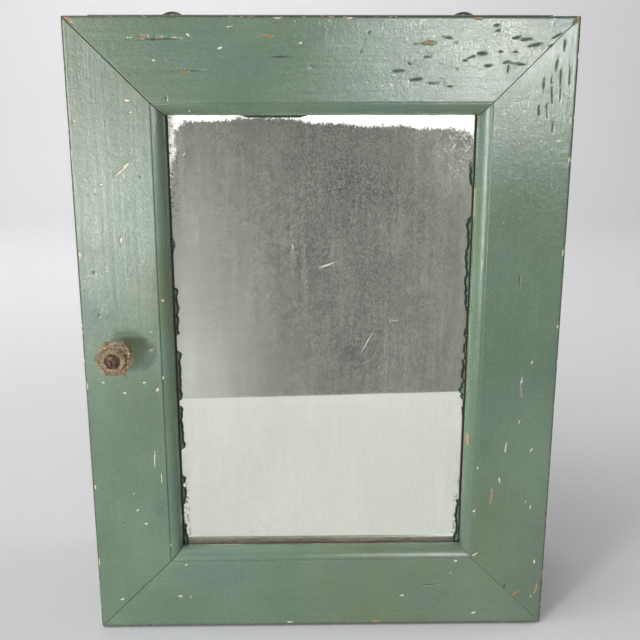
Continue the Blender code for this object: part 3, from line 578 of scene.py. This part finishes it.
def ring_mesh(name, rings, closed=False):
    """Skins a list of rings with equal numbers of points. closed joins the last to the first."""
    count = len(rings[0])
    points = [point for ring in rings for point in ring]
    faces = []
    pairs = len(rings) if closed else len(rings) - 1
    for i in range(pairs):
        a, b = i * count, (i + 1) % len(rings) * count
        for k in range(count):
            n = (k + 1) % count
            faces.append((a + k, a + n, b + n, b + k))
    if not closed:
        faces.append(tuple(range(count - 1, -1, -1)))
        faces.append(tuple(range((len(rings) - 1) * count, len(rings) * count)))
    mesh = bpy.data.meshes.new(name)
    mesh.from_pydata(points, [], faces)
    bm = bmesh.new()
    bm.from_mesh(mesh)
    bmesh.ops.recalc_face_normals(bm, faces=bm.faces)
    bm.to_mesh(mesh)
    bm.free()
    return mesh


# ---------------------------------------------------------------- the door's marks
# Each is its kind, its middle in millimetres from the door's left edge and bottom, its length
# and width in millimetres, and its direction in degrees from level.

TOP_RAIL_MARKS = [
    ("bare", 4, 401, 7, 3, -35), ("chip", 28, 403, 4, 1.6, 0), ("chip", 48, 403, 3, 1.4, 0),
    ("chip", 99, 403, 3, 1.6, 0), ("chip", 111, 403, 4, 1.6, 0), ("chip", 126, 402, 6, 1.8, 0),
    ("chip", 152, 403, 3, 1.4, 0), ("chip", 169, 402, 5, 1.6, 0), ("bare", 244, 402, 6, 1.6, 0),
    ("dent", 55, 390, 36, 1.0, 1), ("bare", 47, 392, 7, 1.8, 0), ("bare", 57, 391, 6, 1.6, 0),
    ("chip", 39, 391, 5, 1.4, 0), ("chip", 65, 391, 6, 1.2, 0), ("chip", 74, 392, 5, 1.6, -50),
    ("chip", 98, 397, 4, 1.4, 10), ("bare", 120, 392, 9, 1.8, 0), ("chip", 92, 385, 4, 2.6, 20),
    ("dent", 69, 372, 34, 0.7, 1), ("bare", 71, 372, 8, 2.2, 0), ("chip", 53, 378, 3, 1.8, 0),
    ("dent", 180, 394, 2, 1.4, 60), ("dent", 175, 383, 2, 1.3, 70), ("bare", 216, 388, 8, 3, 0),
    ("dent", 212, 387.5, 16, 1.2, 2), ("dent", 226, 391, 6, 1.8, -6), ("dent", 231, 388, 6, 0.8, 0),
    ("dent", 247, 382, 7, 2.8, 2), ("dent", 241, 380, 6, 1.2, 20), ("dent", 197, 372, 9, 1.8, 2),
    ("dent", 208, 367, 11, 1.8, 8), ("dent", 218, 365, 14, 0.7, 4), ("dent", 251, 375, 6, 1.6, 2),
    ("dent", 267, 391, 6, 1.2, 8), ("dent", 273, 390, 8, 1.6, 4), ("dent", 279, 387, 10, 2.2, 10),
    ("dent", 262, 377, 5, 1.8, 10), ("dent", 269, 376, 10, 1.4, -4), ("dent", 263, 373, 5, 0.9, 88),
    ("dent", 255, 398, 3, 1.1, 0), ("dent", 256, 395, 2.4, 1.1, 0), ("dent", 237, 378, 3, 1.2, 0),
    ("dent", 267, 383, 2, 1.2, 0), ("dent", 258, 383, 1.6, 1.1, 0), ("dent", 291, 392, 9, 1.0, 30),
    ("dent", 222, 376, 3, 0.9, 0), ("dent", 232, 373, 2, 1, 0), ("dent", 214, 380, 3, 1, 0),
    ("bare", 302, 401, 5, 3.4, 60), ("chip", 140, 388, 3, 1.2, 0), ("dent", 128, 380, 12, 1.6, 0),
]
RIGHT_STILE_MARKS = [
    ("dent", 296, 387, 7, 1.4, 88), ("dent", 292, 376, 9, 1.2, 86), ("dent", 295, 365, 30, 0.8, 93),
    ("dent", 290, 360, 22, 1.2, 95), ("dent", 285, 364, 10, 1.8, 90), ("dent", 283, 349, 10, 1.6, 92),
    ("dent", 300, 372, 22, 0.6, 92), ("dent", 292, 340, 9, 1.0, 88), ("dent", 288, 348, 14, 0.8, 96),
    ("chip", 302, 343, 6, 1.6, 92), ("dent", 277, 244, 13, 1.6, 90), ("chip", 282, 178, 10, 1.6, 82),
    ("bare", 282, 170, 9, 2.2, 96), ("chip", 282, 149, 4, 2, 70), ("bare", 249, 136, 10, 2.4, 90),
    ("chip", 274, 131, 11, 1.8, 84), ("chip", 291, 129, 4, 2.2, 60), ("chip", 256, 117, 3, 2, 90),
    ("bare", 266, 96, 14, 2.4, 86), ("chip", 255, 85, 4, 2, 60), ("bare", 304, 78, 6, 2, 90),
    ("chip", 298, 47, 4, 2.2, 90), ("bare", 304, 37, 9, 2.2, 90), ("bare", 300, 26, 10, 2.8, 80),
    ("bare", 286, 23, 11, 1.8, 42), ("dent", 279, 29, 7, 2.6, 60), ("chip", 257, 53, 5, 2, 30),
    ("chip", 303, 320, 5, 1.8, 90), ("chip", 303, 262, 6, 1.8, 90), ("chip", 303, 214, 4, 1.6, 90),
    ("chip", 288, 190, 4, 1.6, 80), ("chip", 271, 108, 5, 1.8, 100), ("chip", 293, 88, 4, 1.8, 90),
]
LEFT_STILE_MARKS = [
    ("chip", 36, 355, 3.4, 3, 0), ("chip", 38, 348, 2.8, 2.4, 0), ("chip", 4, 343, 3.4, 2.4, 30),
    ("chip", 1, 323, 8, 2, 90), ("chip", 30, 313, 15, 2.2, 38), ("chip", 34, 317, 5, 3, 30),
    ("chip", 18, 305, 3.6, 2.2, 20), ("chip", 12, 299, 14, 1.2, 12), ("chip", 28, 271, 5, 2.6, 80),
    ("chip", 2, 262, 6, 2, 90), ("chip", 1, 176, 6, 2, 90), ("chip", 25, 171, 2.6, 2.2, 0),
    ("chip", 50, 181, 3, 2.2, 90), ("chip", 46, 173, 4, 2.4, 60), ("chip", 38, 178, 2.6, 2, 0),
    ("chip", 43, 200, 3, 2, 30), ("chip", 42, 124, 22, 1.0, 86), ("chip", 46, 112, 12, 1.0, 92),
    ("chip", 29, 88, 4, 2.4, 40), ("chip", 34, 78, 3.4, 2.2, 0), ("chip", 1, 50, 8, 2.2, 90),
    ("chip", 52, 232, 3, 1.6, 90), ("chip", 2, 105, 4, 1.6, 90),
]
BOTTOM_RAIL_MARKS = [
    ("chip", 15, 21, 3.6, 2.4, 20), ("chip", 55, 23, 3, 2, 0), ("chip", 60, 47, 3, 1.8, 30),
    ("chip", 208, 22, 3.6, 2.2, 0), ("chip", 244, 48, 3, 2, 30), ("dent", 227, 30, 16, 1.6, 4),
    ("chip", 130, 2, 8, 2, 0), ("bare", 190, 2, 6, 2, 0), ("chip", 258, 8, 4, 2, 20),
]
MARKS = TOP_RAIL_MARKS + RIGHT_STILE_MARKS + LEFT_STILE_MARKS + BOTTOM_RAIL_MARKS
MARK_DEPTHS = {"dent": 0.38 * MM, "chip": 0.16 * MM, "bare": 0.32 * MM}
EDGE_NICKS = 46
FACE_NICKS = 34


def stray_marks():
    """Small nicks scattered over the door, most of them along its outer edges."""
    rng = random.Random(7)
    width, height = DOOR_WIDTH / MM, DOOR_HEIGHT / MM
    found = []
    for _ in range(EDGE_NICKS):
        kind = rng.choice(("chip", "chip", "bare"))
        long_way = rng.uniform(1.6, 4.5)
        if rng.random() < 0.5:
            x, angle = rng.choice((0.4, width - 0.4)), 90
            z = rng.uniform(5, height - 5)
        else:
            z, angle = rng.choice((0.4, height - 0.4)), 0
            x = rng.uniform(5, width - 5)
        found.append((kind, x, z, long_way, rng.uniform(1.0, 1.8), angle))
    for _ in range(FACE_NICKS):
        x, z = rng.uniform(6, width - 6), rng.uniform(6, height - 6)
        found.append((rng.choice(("chip", "dent")), x, z, rng.uniform(1.2, 2.6), 1.4, rng.uniform(0, 180)))
    return found


def rough_field(points, scale, seed):
    return np.array([noise.noise(Vector((p[0] * scale + seed, p[1] * scale, p[2] * scale)))
                     for p in points])


def mark_fields(points):
    """For each kind of mark, from 0 to 1, how deep in one each point lies."""
    x = (points[:, 0] - DOOR_LEFT) / MM
    z = (points[:, 2] - DOOR_BOTTOM) / MM
    depth = (points[:, 1] - DOOR_FRONT) / MM
    rim = np.minimum(np.minimum(x, DOOR_WIDTH / MM - x), np.minimum(z, DOOR_HEIGHT / MM - z))
    reach = 2.2 + 1.8 * rough_field(points, 120, 8.0)
    fade = np.where(rim < 0.3, np.clip(1.5 - depth / reach, 0, 1), 1)
    wobble = 0.30 * rough_field(points, 900, 3.0) + 0.22 * rough_field(points, 420, 6.0)
    fields = {kind: np.zeros(len(points)) for kind in MARK_DEPTHS}
    for kind, cx, cz, long_way, wide, degrees in MARKS + stray_marks():
        turn = math.radians(degrees)
        dx, dz = x - cx, z - cz
        near = (np.abs(dx) < long_way + 3) & (np.abs(dz) < long_way + 3)
        along = (dx * math.cos(turn) + dz * math.sin(turn))[near] / (long_way / 2 + 0.45)
        across = (dz * math.cos(turn) - dx * math.sin(turn))[near] / (wide * 0.31 + 0.18)
        inside = np.clip(1.2 - along ** 2 - np.abs(across) + wobble[near], 0, 1)
        fields[kind][near] = np.maximum(fields[kind][near], inside)
    fields["chip"] = np.maximum(fields["chip"], np.clip(fields["bare"] * 1.35, 0, 1))
    return {kind: values * fade for kind, values in fields.items()}


# ---------------------------------------------------------------- the door's members


def member_section(pockets):
    """The section's points as (distance in from the outer edge, depth from the face)."""
    front = arc((ARRIS, ARRIS), (ARRIS, ARRIS), 180, 270, 5)
    front += straight((ARRIS + GRID, 0), (FLAT - 0.5 * MM, 0), GRID)
    front += [(FLAT - 0.45 * MM, 0), (FLAT - 0.12 * MM, 0.1 * MM), (FLAT, 0.4 * MM), (FLAT, QUIRK)]
    radii = (MEMBER - FLAT, LIP_FRONT - QUIRK)
    front += arc((FLAT, LIP_FRONT), radii, -86, -4, 14)
    front += [(MEMBER, LIP_FRONT), (MEMBER, LIP_BACK)]
    back_corner = MEMBER - RABBET
    edges = {0.0, back_corner}
    for _, _, low, high, _ in pockets:
        edges |= {low - POCKET_WALL, low, high, high + POCKET_WALL}
        edges |= {low + (high - low) * i / 6 for i in range(1, 6)}
    back = [(u, DOOR_BOARD) for u in sorted(edges, reverse=True)]
    outer = straight((0, DOOR_BOARD - 2.5 * MM), (0, 6 * MM), 2.5 * MM)
    outer += straight((0, 6 * MM), (0, ARRIS + MM / 3), GRID)
    return front + [(back_corner, LIP_BACK)] + back + outer


def columns(length, pockets, gaps):
    """Each column's place along the member, as a function of the distance in from the edge."""
    start = MEMBER + 2 * MM
    slanted = round(start / GRID)
    straight_steps = round((length - 2 * start) / GRID)
    found = []
    for i in range(slanted):
        share = i / slanted
        found.append(lambda u, s=share: gaps[0] + u + s * (start - u - gaps[0]))
    middle = {start + (length - 2 * start) * i / straight_steps for i in range(straight_steps + 1)}
    for low, high, _, _, _ in pockets:
        middle |= {low, low + POCKET_WALL, high - POCKET_WALL, high}
    found += [lambda u, s=place: s + 0 * u for place in sorted(middle)]
    for i in range(slanted - 1, -1, -1):
        share = i / slanted
        found.append(lambda u, s=share: length - gaps[1] - u - s * (start - u - gaps[1]))
    return found


def pocket_depths(section, along, pockets):
    """How deep each point of the back lies in a pocket. A pocket has two ends along the member,
    two edges measured in from its outer edge, and a depth or a function that gives it."""
    depth = np.zeros(len(section))
    for low, high, near, far, how_deep in pockets:
        if low < along < high:
            u = section[:, 0]
            inside = (u >= near) & (u <= far) & (section[:, 1] > DOOR_BOARD - MM / 10)
            shape = how_deep(u) if callable(how_deep) else how_deep
            depth = np.where(inside, np.maximum(depth, shape), depth)
    return depth


def section_normals(section):
    """The way out of the section at each of its points."""
    ahead = np.roll(section, -1, axis=0) - np.roll(section, 1, axis=0)
    normal = np.stack([ahead[:, 1], -ahead[:, 0]], axis=1)
    return normal / np.maximum(np.linalg.norm(normal, axis=1, keepdims=True), 1e-9)


def swept_points(section, places, pockets, length):
    """The member's points as it lies along X at the origin, and the way out at each of them."""
    normals = section_normals(section)
    rows, outward = [], []
    for where in places:
        along = where(section[:, 0])
        cut = pocket_depths(section, float(where(0.0)), pockets)
        rows.append(np.stack([along - length / 2, section[:, 1] - cut, section[:, 0]], axis=1))
        outward.append(np.stack([np.zeros(len(section)), normals[:, 1], normals[:, 0]], axis=1))
    return np.concatenate(rows), np.concatenate(outward)


def wear_layers(points, inward, face):
    """What the paint reads at each point: the marks, the unpainted lip, its wood darkened as painted shade
    of the rabbet, and the outer edge, darkened as painted shade.
    """
    depth = points[:, 1] - DOOR_FRONT
    layers = {kind: values * face for kind, values in mark_fields(points).items()}
    raw = (depth > LIP_FRONT + 0.3 * MM) & (depth < DOOR_BOARD - 0.5 * MM)
    layers["raw"] = (raw & (inward > MEMBER - RABBET - MM / 10)).astype(float)
    # A band on the outer arris, darkened as painted shade
    at_arris = np.clip(1 - np.abs(depth - 0.7 * MM) / (0.9 * MM), 0, 1)
    layers["edge"] = at_arris * (inward < ARRIS)
    return layers


def build_member(name, length, corner, degrees, along_axis, pockets, gaps):
    """Sweeps the section between its two mitres, then presses the marks into its face.

    The gaps are the two mitres' widths in millimetres."""
    section = np.array(member_section(pockets))
    places = columns(length, pockets, [gap * MM for gap in gaps])
    points, outward = swept_points(section, places, pockets, length)
    turn = np.array(Matrix.Rotation(math.radians(degrees), 3, "Y"))
    points = points @ turn.T + np.array(corner)
    outward = outward @ turn.T
    face = (points[:, 1] < DOOR_FRONT + LIP_BACK + MM).astype(float)
    layers = wear_layers(points, np.tile(section[:, 0], len(places)), face)
    points += outward * relief(points, layers, face)[:, None]
    mesh = swept_mesh(name, points, len(places), len(section))
    for kind, values in layers.items():
        layer = mesh.attributes.new(kind, "FLOAT", "POINT")
        layer.data.foreach_set("value", values.astype(np.float32))
    shade(mesh, 40)
    piece = add_piece(name + "_wood", mesh, "door", PAINTS[along_axis])
    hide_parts(name)


def relief(points, layers, face):
    """How far each point stands out: a slow wave in the paint, less the marks' depths."""
    wave = 0.05 * MM * rough_field(points, 45, 11.0) + 0.02 * MM * rough_field(points, 260, 5.0)
    for kind, depth in MARK_DEPTHS.items():
        value = layers[kind]
        wave = wave - depth * value * value * (3 - 2 * value)
    return wave * face


def swept_mesh(name, points, count, size):
    """Skins count columns of size points each, and caps the two ends."""
    base = np.arange((count - 1) * size).reshape(count - 1, size)
    ahead = np.roll(base, -1, axis=1)
    quads = np.stack([base, ahead, ahead + size, base + size], axis=2).reshape(-1, 4)
    faces = quads.tolist()
    faces.append(list(range(size - 1, -1, -1)))
    faces.append(list(range((count - 1) * size, count * size)))
    mesh = bpy.data.meshes.new(name)
    mesh.from_pydata(points.tolist(), [], faces)
    bm = bmesh.new()
    bm.from_mesh(mesh)
    bmesh.ops.recalc_face_normals(bm, faces=bm.faces)
    bm.to_mesh(mesh)
    bm.free()
    return mesh


def hinge_pockets():
    """Where the hinges are let into the right stile's back, measured along from its bottom."""
    low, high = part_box("hinge_pin_upper")
    axis = DOOR_RIGHT - (low.x + high.x) / 2
    behind = (low.y + high.y) / 2 - DOOR_BACK
    half = math.sqrt(PIN_GROOVE ** 2 - behind ** 2)

    def round_groove(u):
        return np.sqrt(np.clip(PIN_GROOVE ** 2 - (u - axis) ** 2, 0, None)) - behind

    def ends(low, high):
        return low.z - DOOR_BOTTOM - CLEARANCE, high.z - DOOR_BOTTOM + CLEARANCE

    found = []
    for level in ("upper", "lower"):
        low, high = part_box(f"hinge_leaf_door_{level}")
        found.append((*ends(low, high), axis, DOOR_RIGHT - low.x + CLEARANCE, LEAF_POCKET))
        low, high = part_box(f"hinge_pin_{level}")
        found.append((*ends(low, high), axis - half, axis + half, round_groove))
    return found


def strike_pockets():
    """Where the catch's plate is let into the left stile's back, measured along from its top."""
    low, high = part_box("catch_strike")
    return [(DOOR_TOP - high.z - CLEARANCE, DOOR_TOP - low.z + CLEARANCE,
             low.x - DOOR_LEFT - CLEARANCE, high.x - DOOR_LEFT + CLEARANCE, STRIKE_POCKET)]


def build_door_frame():
    middle = (DOOR_BOTTOM + DOOR_TOP) / 2
    centre = (DOOR_LEFT + DOOR_RIGHT) / 2
    y = DOOR_FRONT
    right, left = hinge_pockets(), strike_pockets()
    build_member("door_rail_bottom", DOOR_WIDTH, (centre, y, DOOR_BOTTOM), 0, "X", (), (0.3, 0.14))
    build_member("door_rail_top", DOOR_WIDTH, (centre, y, DOOR_TOP), 180, "X", (), (0.3, 0.35))
    build_member("door_stile_right", DOOR_HEIGHT, (DOOR_RIGHT, y, middle), -90, "Z", right, (0.14, 0.3))
    build_member("door_stile_left", DOOR_HEIGHT, (DOOR_LEFT, y, middle), 90, "Z", left, (0.35, 0.3))


# ---------------------------------------------------------------- the knob


def hexagon(angle):
    """A hexagon's radius at an angle, as a share of its corner radius. Corners point sideways."""
    return math.cos(math.pi / 6) / math.cos(angle % (math.pi / 3) - math.pi / 6)


def knob_ring(height, radius, squareness, scallop, count=96):
    """A ring around the knob, between round and hexagonal, its height scalloped at the corners."""
    ring = []
    for i in range(count):
        angle = 2 * math.pi * i / count
        r = radius * ((1 - squareness) + squareness * hexagon(angle))
        hollow = scallop * math.cos(3 * angle) ** 2
        ring.append((r * math.cos(angle), -height + hollow, r * math.sin(angle)))
    return ring


def knob_profile(top):
    """The knob's rings from its seat to its rim: height, radius, how hexagonal, how scalloped."""
    return [
        (0.3, 2.3, 0, 0), (0.3, 8.0, 0, 0), (0.7, 8.2, 0, 0), (2.0, 8.1, 0.1, 0),
        (3.6, 6.9, 0.3, 0), (6.0, 6.3, 0.5, 0), (8.6, 6.6, 0.7, 0), (10.4, 8.4, 0.9, 0),
        (11.8, 10.6, 1, 0), (13.6, 12.1, 1, 0), (14.2, 12.45, 1, 0), (17.8, 12.45, 1, 0),
        (18.3, 12.3, 1, 0), (19.9, 10.4, 1, 0), (20.5, 9.7, 1, 0.2), (20.7, 9.0, 0.8, 0.5),
        (20.5, 8.5, 0.4, 0.3), (21.6, 7.6, 0.1, 0), (22.3, 7.3, 0, 0), (top - 0.25, 7.0, 0, 0),
        (top, 6.7, 0, 0), (top, 6.0, 0, 0), (top - 0.6, 5.6, 0, 0), (top - 0.6, 5.2, 0, 0),
        (top - 0.2, 4.9, 0, 0), (top - 0.3, 4.5, 0, 0), (top - 0.9, 4.2, 0, 0), (top - 0.9, 2.3, 0, 0),
    ]


def build_knob():
    low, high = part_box("knob_glass")
    x, z = (low.x + high.x) / 2, (low.z + high.z) / 2
    top = (DOOR_FRONT - low.y) / MM
    rings = [knob_ring(height * MM, radius * MM, hexagonal, scallop * MM)
             for height, radius, hexagonal, scallop in knob_profile(top)]
    mesh = ring_mesh("knob", rings, closed=True)
    mesh.transform(Matrix.Translation((x, DOOR_FRONT, z)))
    shade(mesh, 20)
    knob = add_piece("pressed_glass_knob", mesh, "door", knob_glass_material())
    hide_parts("knob_glass")


def screw_mesh(low, high):
    """A domed head on a pointed shank, around the Y axis."""
    radius = (high.x - low.x) / 2 * SCREW_HEAD_SHARE
    seat = low.y + SCREW_DOME
    rings = []
    for i in range(9):
        angle = math.radians(2 + 88 * i / 8)
        rings.append(circle(radius * math.sin(angle), seat - SCREW_DOME * math.cos(angle)))
    rings += [circle(radius * 0.97, seat + 0.15 * MM), circle(SCREW_SHANK, seat + 0.25 * MM)]
    rings += [circle(SCREW_SHANK, high.y - 5 * MM), circle(0.3 * MM, high.y)]
    return ring_mesh("screw", rings)


def slot_mesh(place):
    """A block that cuts the slot across the screw's head."""
    mesh = bpy.data.meshes.new("slot")
    bm = bmesh.new()
    bmesh.ops.create_cube(bm, size=1.0)
    bmesh.ops.scale(bm, vec=SCREW_SLOT, verts=bm.verts)
    turn = Matrix.Rotation(math.radians(SLOT_DEGREES), 4, "Y")
    bmesh.ops.transform(bm, matrix=turn, verts=bm.verts)
    bmesh.ops.translate(bm, vec=place, verts=bm.verts)
    bm.to_mesh(mesh)
    bm.free()
    return mesh


def cut_away(mesh, cutter_mesh):
    """The first mesh less the second."""
    body = bpy.data.objects.new("screw_body", mesh)
    cutter = bpy.data.objects.new("screw_slot", cutter_mesh)
    for ob in (body, cutter):
        bpy.context.scene.collection.objects.link(ob)
    boolean = body.modifiers.new("Slot", "BOOLEAN")
    boolean.object = cutter
    bpy.context.view_layer.update()
    seen = body.evaluated_get(bpy.context.evaluated_depsgraph_get())
    cut = bpy.data.meshes.new_from_object(seen)
    for ob in (body, cutter):
        bpy.data.objects.remove(ob)
    return cut


def build_knob_screw():
    low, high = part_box("knob_screw")
    centre = Vector(((low.x + high.x) / 2, 0, (low.z + high.z) / 2))
    mesh = screw_mesh(low, high)
    mesh.transform(Matrix.Translation(centre))
    cut = cut_away(mesh, slot_mesh((centre.x, low.y, centre.z)))
    shade(cut, 35)
    rusty = aged_metal("rusty_steel", SCREW_STEEL, SCREW_RUST, 0.42, 0.42, 0.9)
    screw = add_piece("rusty_knob_screw", cut, "door", rusty)
    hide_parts("knob_screw")


# ---------------------------------------------------------------- finishes on the CAD's own pieces


def dress(name, material):
    """Gives a CAD piece its material, and leaves its mesh alone."""
    ob = NODES[name]
    if not ob.material_slots:
        ob.data.materials.append(material)
    ob.material_slots[0].link = "OBJECT"
    ob.material_slots[0].material = material


def behind_front_edge(t, y, board):
    """1 behind a board's front edge, which is painted like the outside."""
    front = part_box(board)[0].y
    return t.ramp(y, front + MM, front + 2 * MM)


def inside_of_sides(t, place):
    """1 on the faces that look into the cabinet, where the sides were painted cream."""
    x, y, _ = t.split(place)
    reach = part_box("side_right")[0].x + 0.4 * MM
    within = t.ramp(t.absolute(x), reach + 0.1 * MM, reach)
    return t.times(within, behind_front_edge(t, y, "side_right"))


def inside_of_ends(t, place):
    """1 on the inner faces of the top and bottom boards."""
    _, y, z = t.split(place)
    low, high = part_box("bottom_board")[1].z - 0.4 * MM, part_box("top_board")[0].z + 0.4 * MM
    within = t.times(t.ramp(z, low - 0.1 * MM, low), t.ramp(z, high + 0.1 * MM, high))
    return t.times(within, behind_front_edge(t, y, "top_board"))


def front_of_panel(t, place):
    """1 on the back panel's face that looks into the cabinet."""
    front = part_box("back_panel")[0].y
    return t.ramp(t.split(place)[1], front + 0.6 * MM, front + 0.4 * MM)


def dress_nodes():
    side = painted("painted_side", "Z", inside=inside_of_sides)
    end = painted("painted_end", "X", inside=inside_of_ends)
    shelf = painted("painted_shelf", "X", SHELF_TONES)
    panel = bare_wood("panel_wood", "Z", painted_side=front_of_panel)
    upright = bare_wood("upright_wood", "Z")
    level = bare_wood("level_wood", "X")
    steel = aged_metal("dull_steel", STEEL, STEEL_RUST, 0.52, 0.45, 0.8)
    brass = aged_metal("aged_brass", BRASS, BRASS_TARNISH, 0.50, 0.32)
    chosen = {
        "side_left": side, "side_right": side, "top_board": end, "bottom_board": end,
        "shelf_upper": shelf, "shelf_lower": shelf, "back_panel": panel,
        "mirror_backing": upright, "mirror_stop_left": upright, "mirror_stop_right": upright,
        "mirror_stop_top": level, "mirror_stop_bottom": level,
        "mirror_glass": pane_material(), "mirror_silvering": silver_material(),
    }
    by_slot = {"dull_steel": steel, "aged_brass": brass, "bare_wood": level}
    for name in NODES:
        if name in chosen:
            dress(name, chosen[name])
        elif RECORD_SLOTS[name] in by_slot:
            dress(name, by_slot[RECORD_SLOTS[name]])


# ---------------------------------------------------------------- studio


def table_material():
    """A pale paint with faint clouds."""
    t = Tree("pale_table")
    darker = tuple(channel * 0.97 for channel in TABLE[:3]) + (1,)
    colour = t.mix(t.noise(t.place(), 3.0, 3, 0.5), darker, TABLE)
    return t.finish(t.principled(Base_Color=colour, Roughness=0.8))


def sheet_mesh(name, outline, half_width):
    """A sheet that follows an outline of (y, z) points, as wide as twice half_width."""
    points = [(x, y, z) for x in (-half_width, half_width) for y, z in outline]
    count = len(outline)
    faces = [(i, i + 1, count + i + 1, count + i) for i in range(count - 1)]
    mesh = bpy.data.meshes.new(name)
    mesh.from_pydata(points, [], faces)
    mesh.shade_smooth()
    return mesh


TABLE_EDGE = DOOR_FRONT - 0.468
EDGE_ROLL = 0.025


def build_stage():
    """A pale table that ends before the camera and curves up behind, and a wall past its edge."""
    outline = [(TABLE_EDGE, -0.6), (TABLE_EDGE, -0.3)]
    outline += arc((TABLE_EDGE + EDGE_ROLL, -EDGE_ROLL), (EDGE_ROLL, EDGE_ROLL), 180, 90, 8)
    outline += [(0.6, 0.0), (1.6, 0.0)]
    outline += arc((1.7, 0.7), (0.7, 0.7), 270, 360, 12)
    outline += [(2.4, 2.6)]
    floor = bpy.data.objects.new("studio_floor", sheet_mesh("studio_floor", outline, 3.2))
    wall = [(-2.6, -0.9), (-2.6, 2.8)]
    backdrop = bpy.data.objects.new("studio_backdrop", sheet_mesh("studio_backdrop", wall, 3.6))
    floor.rotation_euler.z = math.radians(-3.5)
    floor.data.materials.append(table_material())
    backdrop.data.materials.append(backdrop_material())
    for ob in (floor, backdrop):
        bpy.context.scene.collection.objects.link(ob)


def backdrop_material():
    """A grey that glows: a painted pool of light at the lower left, painted lighter towards the right and
    darker towards the top, which is what the mirror shows.
    """
    t = Tree("grey_backdrop")
    x, _, z = t.split(t.place())
    side = t.ramp(x, 0.05, -0.85)
    low = t.ramp(z, 0.35, -0.65, 0.10, 1.05)
    glow = t.times(t.math("POWER", side, 1.5), low)
    right = t.times(t.ramp(x, 0.20, 0.80), 0.11)
    base = t.ramp(z, 0.4, -0.5, 0.068, 0.108)
    cloud = t.times(t.minus(t.noise(t.place(), 1.8, 3, 0.5), 0.5), 0.05)
    grey = t.plus(t.plus(base, glow), t.plus(right, cloud))
    shade_of = t.add("ShaderNodeCombineColor", {0: grey, 1: grey, 2: grey}).outputs[0]
    return t.finish(t.add("ShaderNodeEmission", {"Color": shade_of, "Strength": 1.15}).outputs[0])


# Each light's place, what it looks at, its width and height, and its power
GLARE_LIGHTS = {
    "left_light": ((-0.62, -1.50, 0.05), (-0.10, 0, 0.22), (0.12, 0.22), 9.2),
    "right_light": ((0.37, -1.50, 0.46), (0.05, 0, 0.30), (0.16, 0.08), 14.0),
}
SOFT_LIGHTS = {
    "key_light": ((-0.95, -1.35, 0.34), (0, 0, 0.2), (0.22, 0.22), 13),
    "top_light": ((-0.8, -0.7, 1.9), (0, -0.1, 0.1), (1.4, 1.4), 17),
    "back_light": ((-0.7, 0.9, 1.5), (-0.4, 2.3, 0.5), (1.2, 1.0), 17.5),
    "side_fill": ((2.1, 0.5, 1.3), (0, 0, 0.15), (1.5, 1.2), 13),
}


def add_light(name, place, target, size, power):
    light = bpy.data.lights.new(name, "AREA")
    light.shape = "RECTANGLE"
    light.size, light.size_y = size
    light.energy = power
    ob = bpy.data.objects.new(name, light)
    ob.location = place
    ob.rotation_euler = (Vector(target) - Vector(place)).to_track_quat("-Z", "Y").to_euler()
    bpy.context.scene.collection.objects.link(ob)
    return ob


def build_lights():
    """Two small lamps that only make the glare on the gloss, four soft ones and a dim sky."""
    for name, settings in GLARE_LIGHTS.items():
        add_light(name, *settings).visible_diffuse = False
    for name, settings in SOFT_LIGHTS.items():
        add_light(name, *settings)
    world = bpy.data.worlds.new("studio")
    bpy.context.scene.world = world
    world.use_nodes = True
    background = world.node_tree.nodes["Background"]
    background.inputs["Color"].default_value = SKY
    background.inputs["Strength"].default_value = 0.22


def build_camera():
    """Stands just left of the middle and a little below the door's top, looking slightly down."""
    data = bpy.data.cameras.new("camera")
    data.sensor_width = 36
    data.lens = 52.2
    data.clip_start = 0.01
    camera = bpy.data.objects.new("camera", data)
    camera.location = (-0.0116, DOOR_FRONT - 0.569, DOOR_BOTTOM + 0.372)
    camera.rotation_euler = (math.radians(74.98), 0, math.radians(-1.04))
    bpy.context.scene.collection.objects.link(camera)
    bpy.context.scene.camera = camera
    bpy.context.scene.view_settings.view_transform = "Standard"


PAINTS = {"X": painted("rail_paint", "X"), "Z": painted("stile_paint", "Z")}
build_camera()
build_door_frame()
build_knob()
build_knob_screw()
dress_nodes()
build_stage()
build_lights()
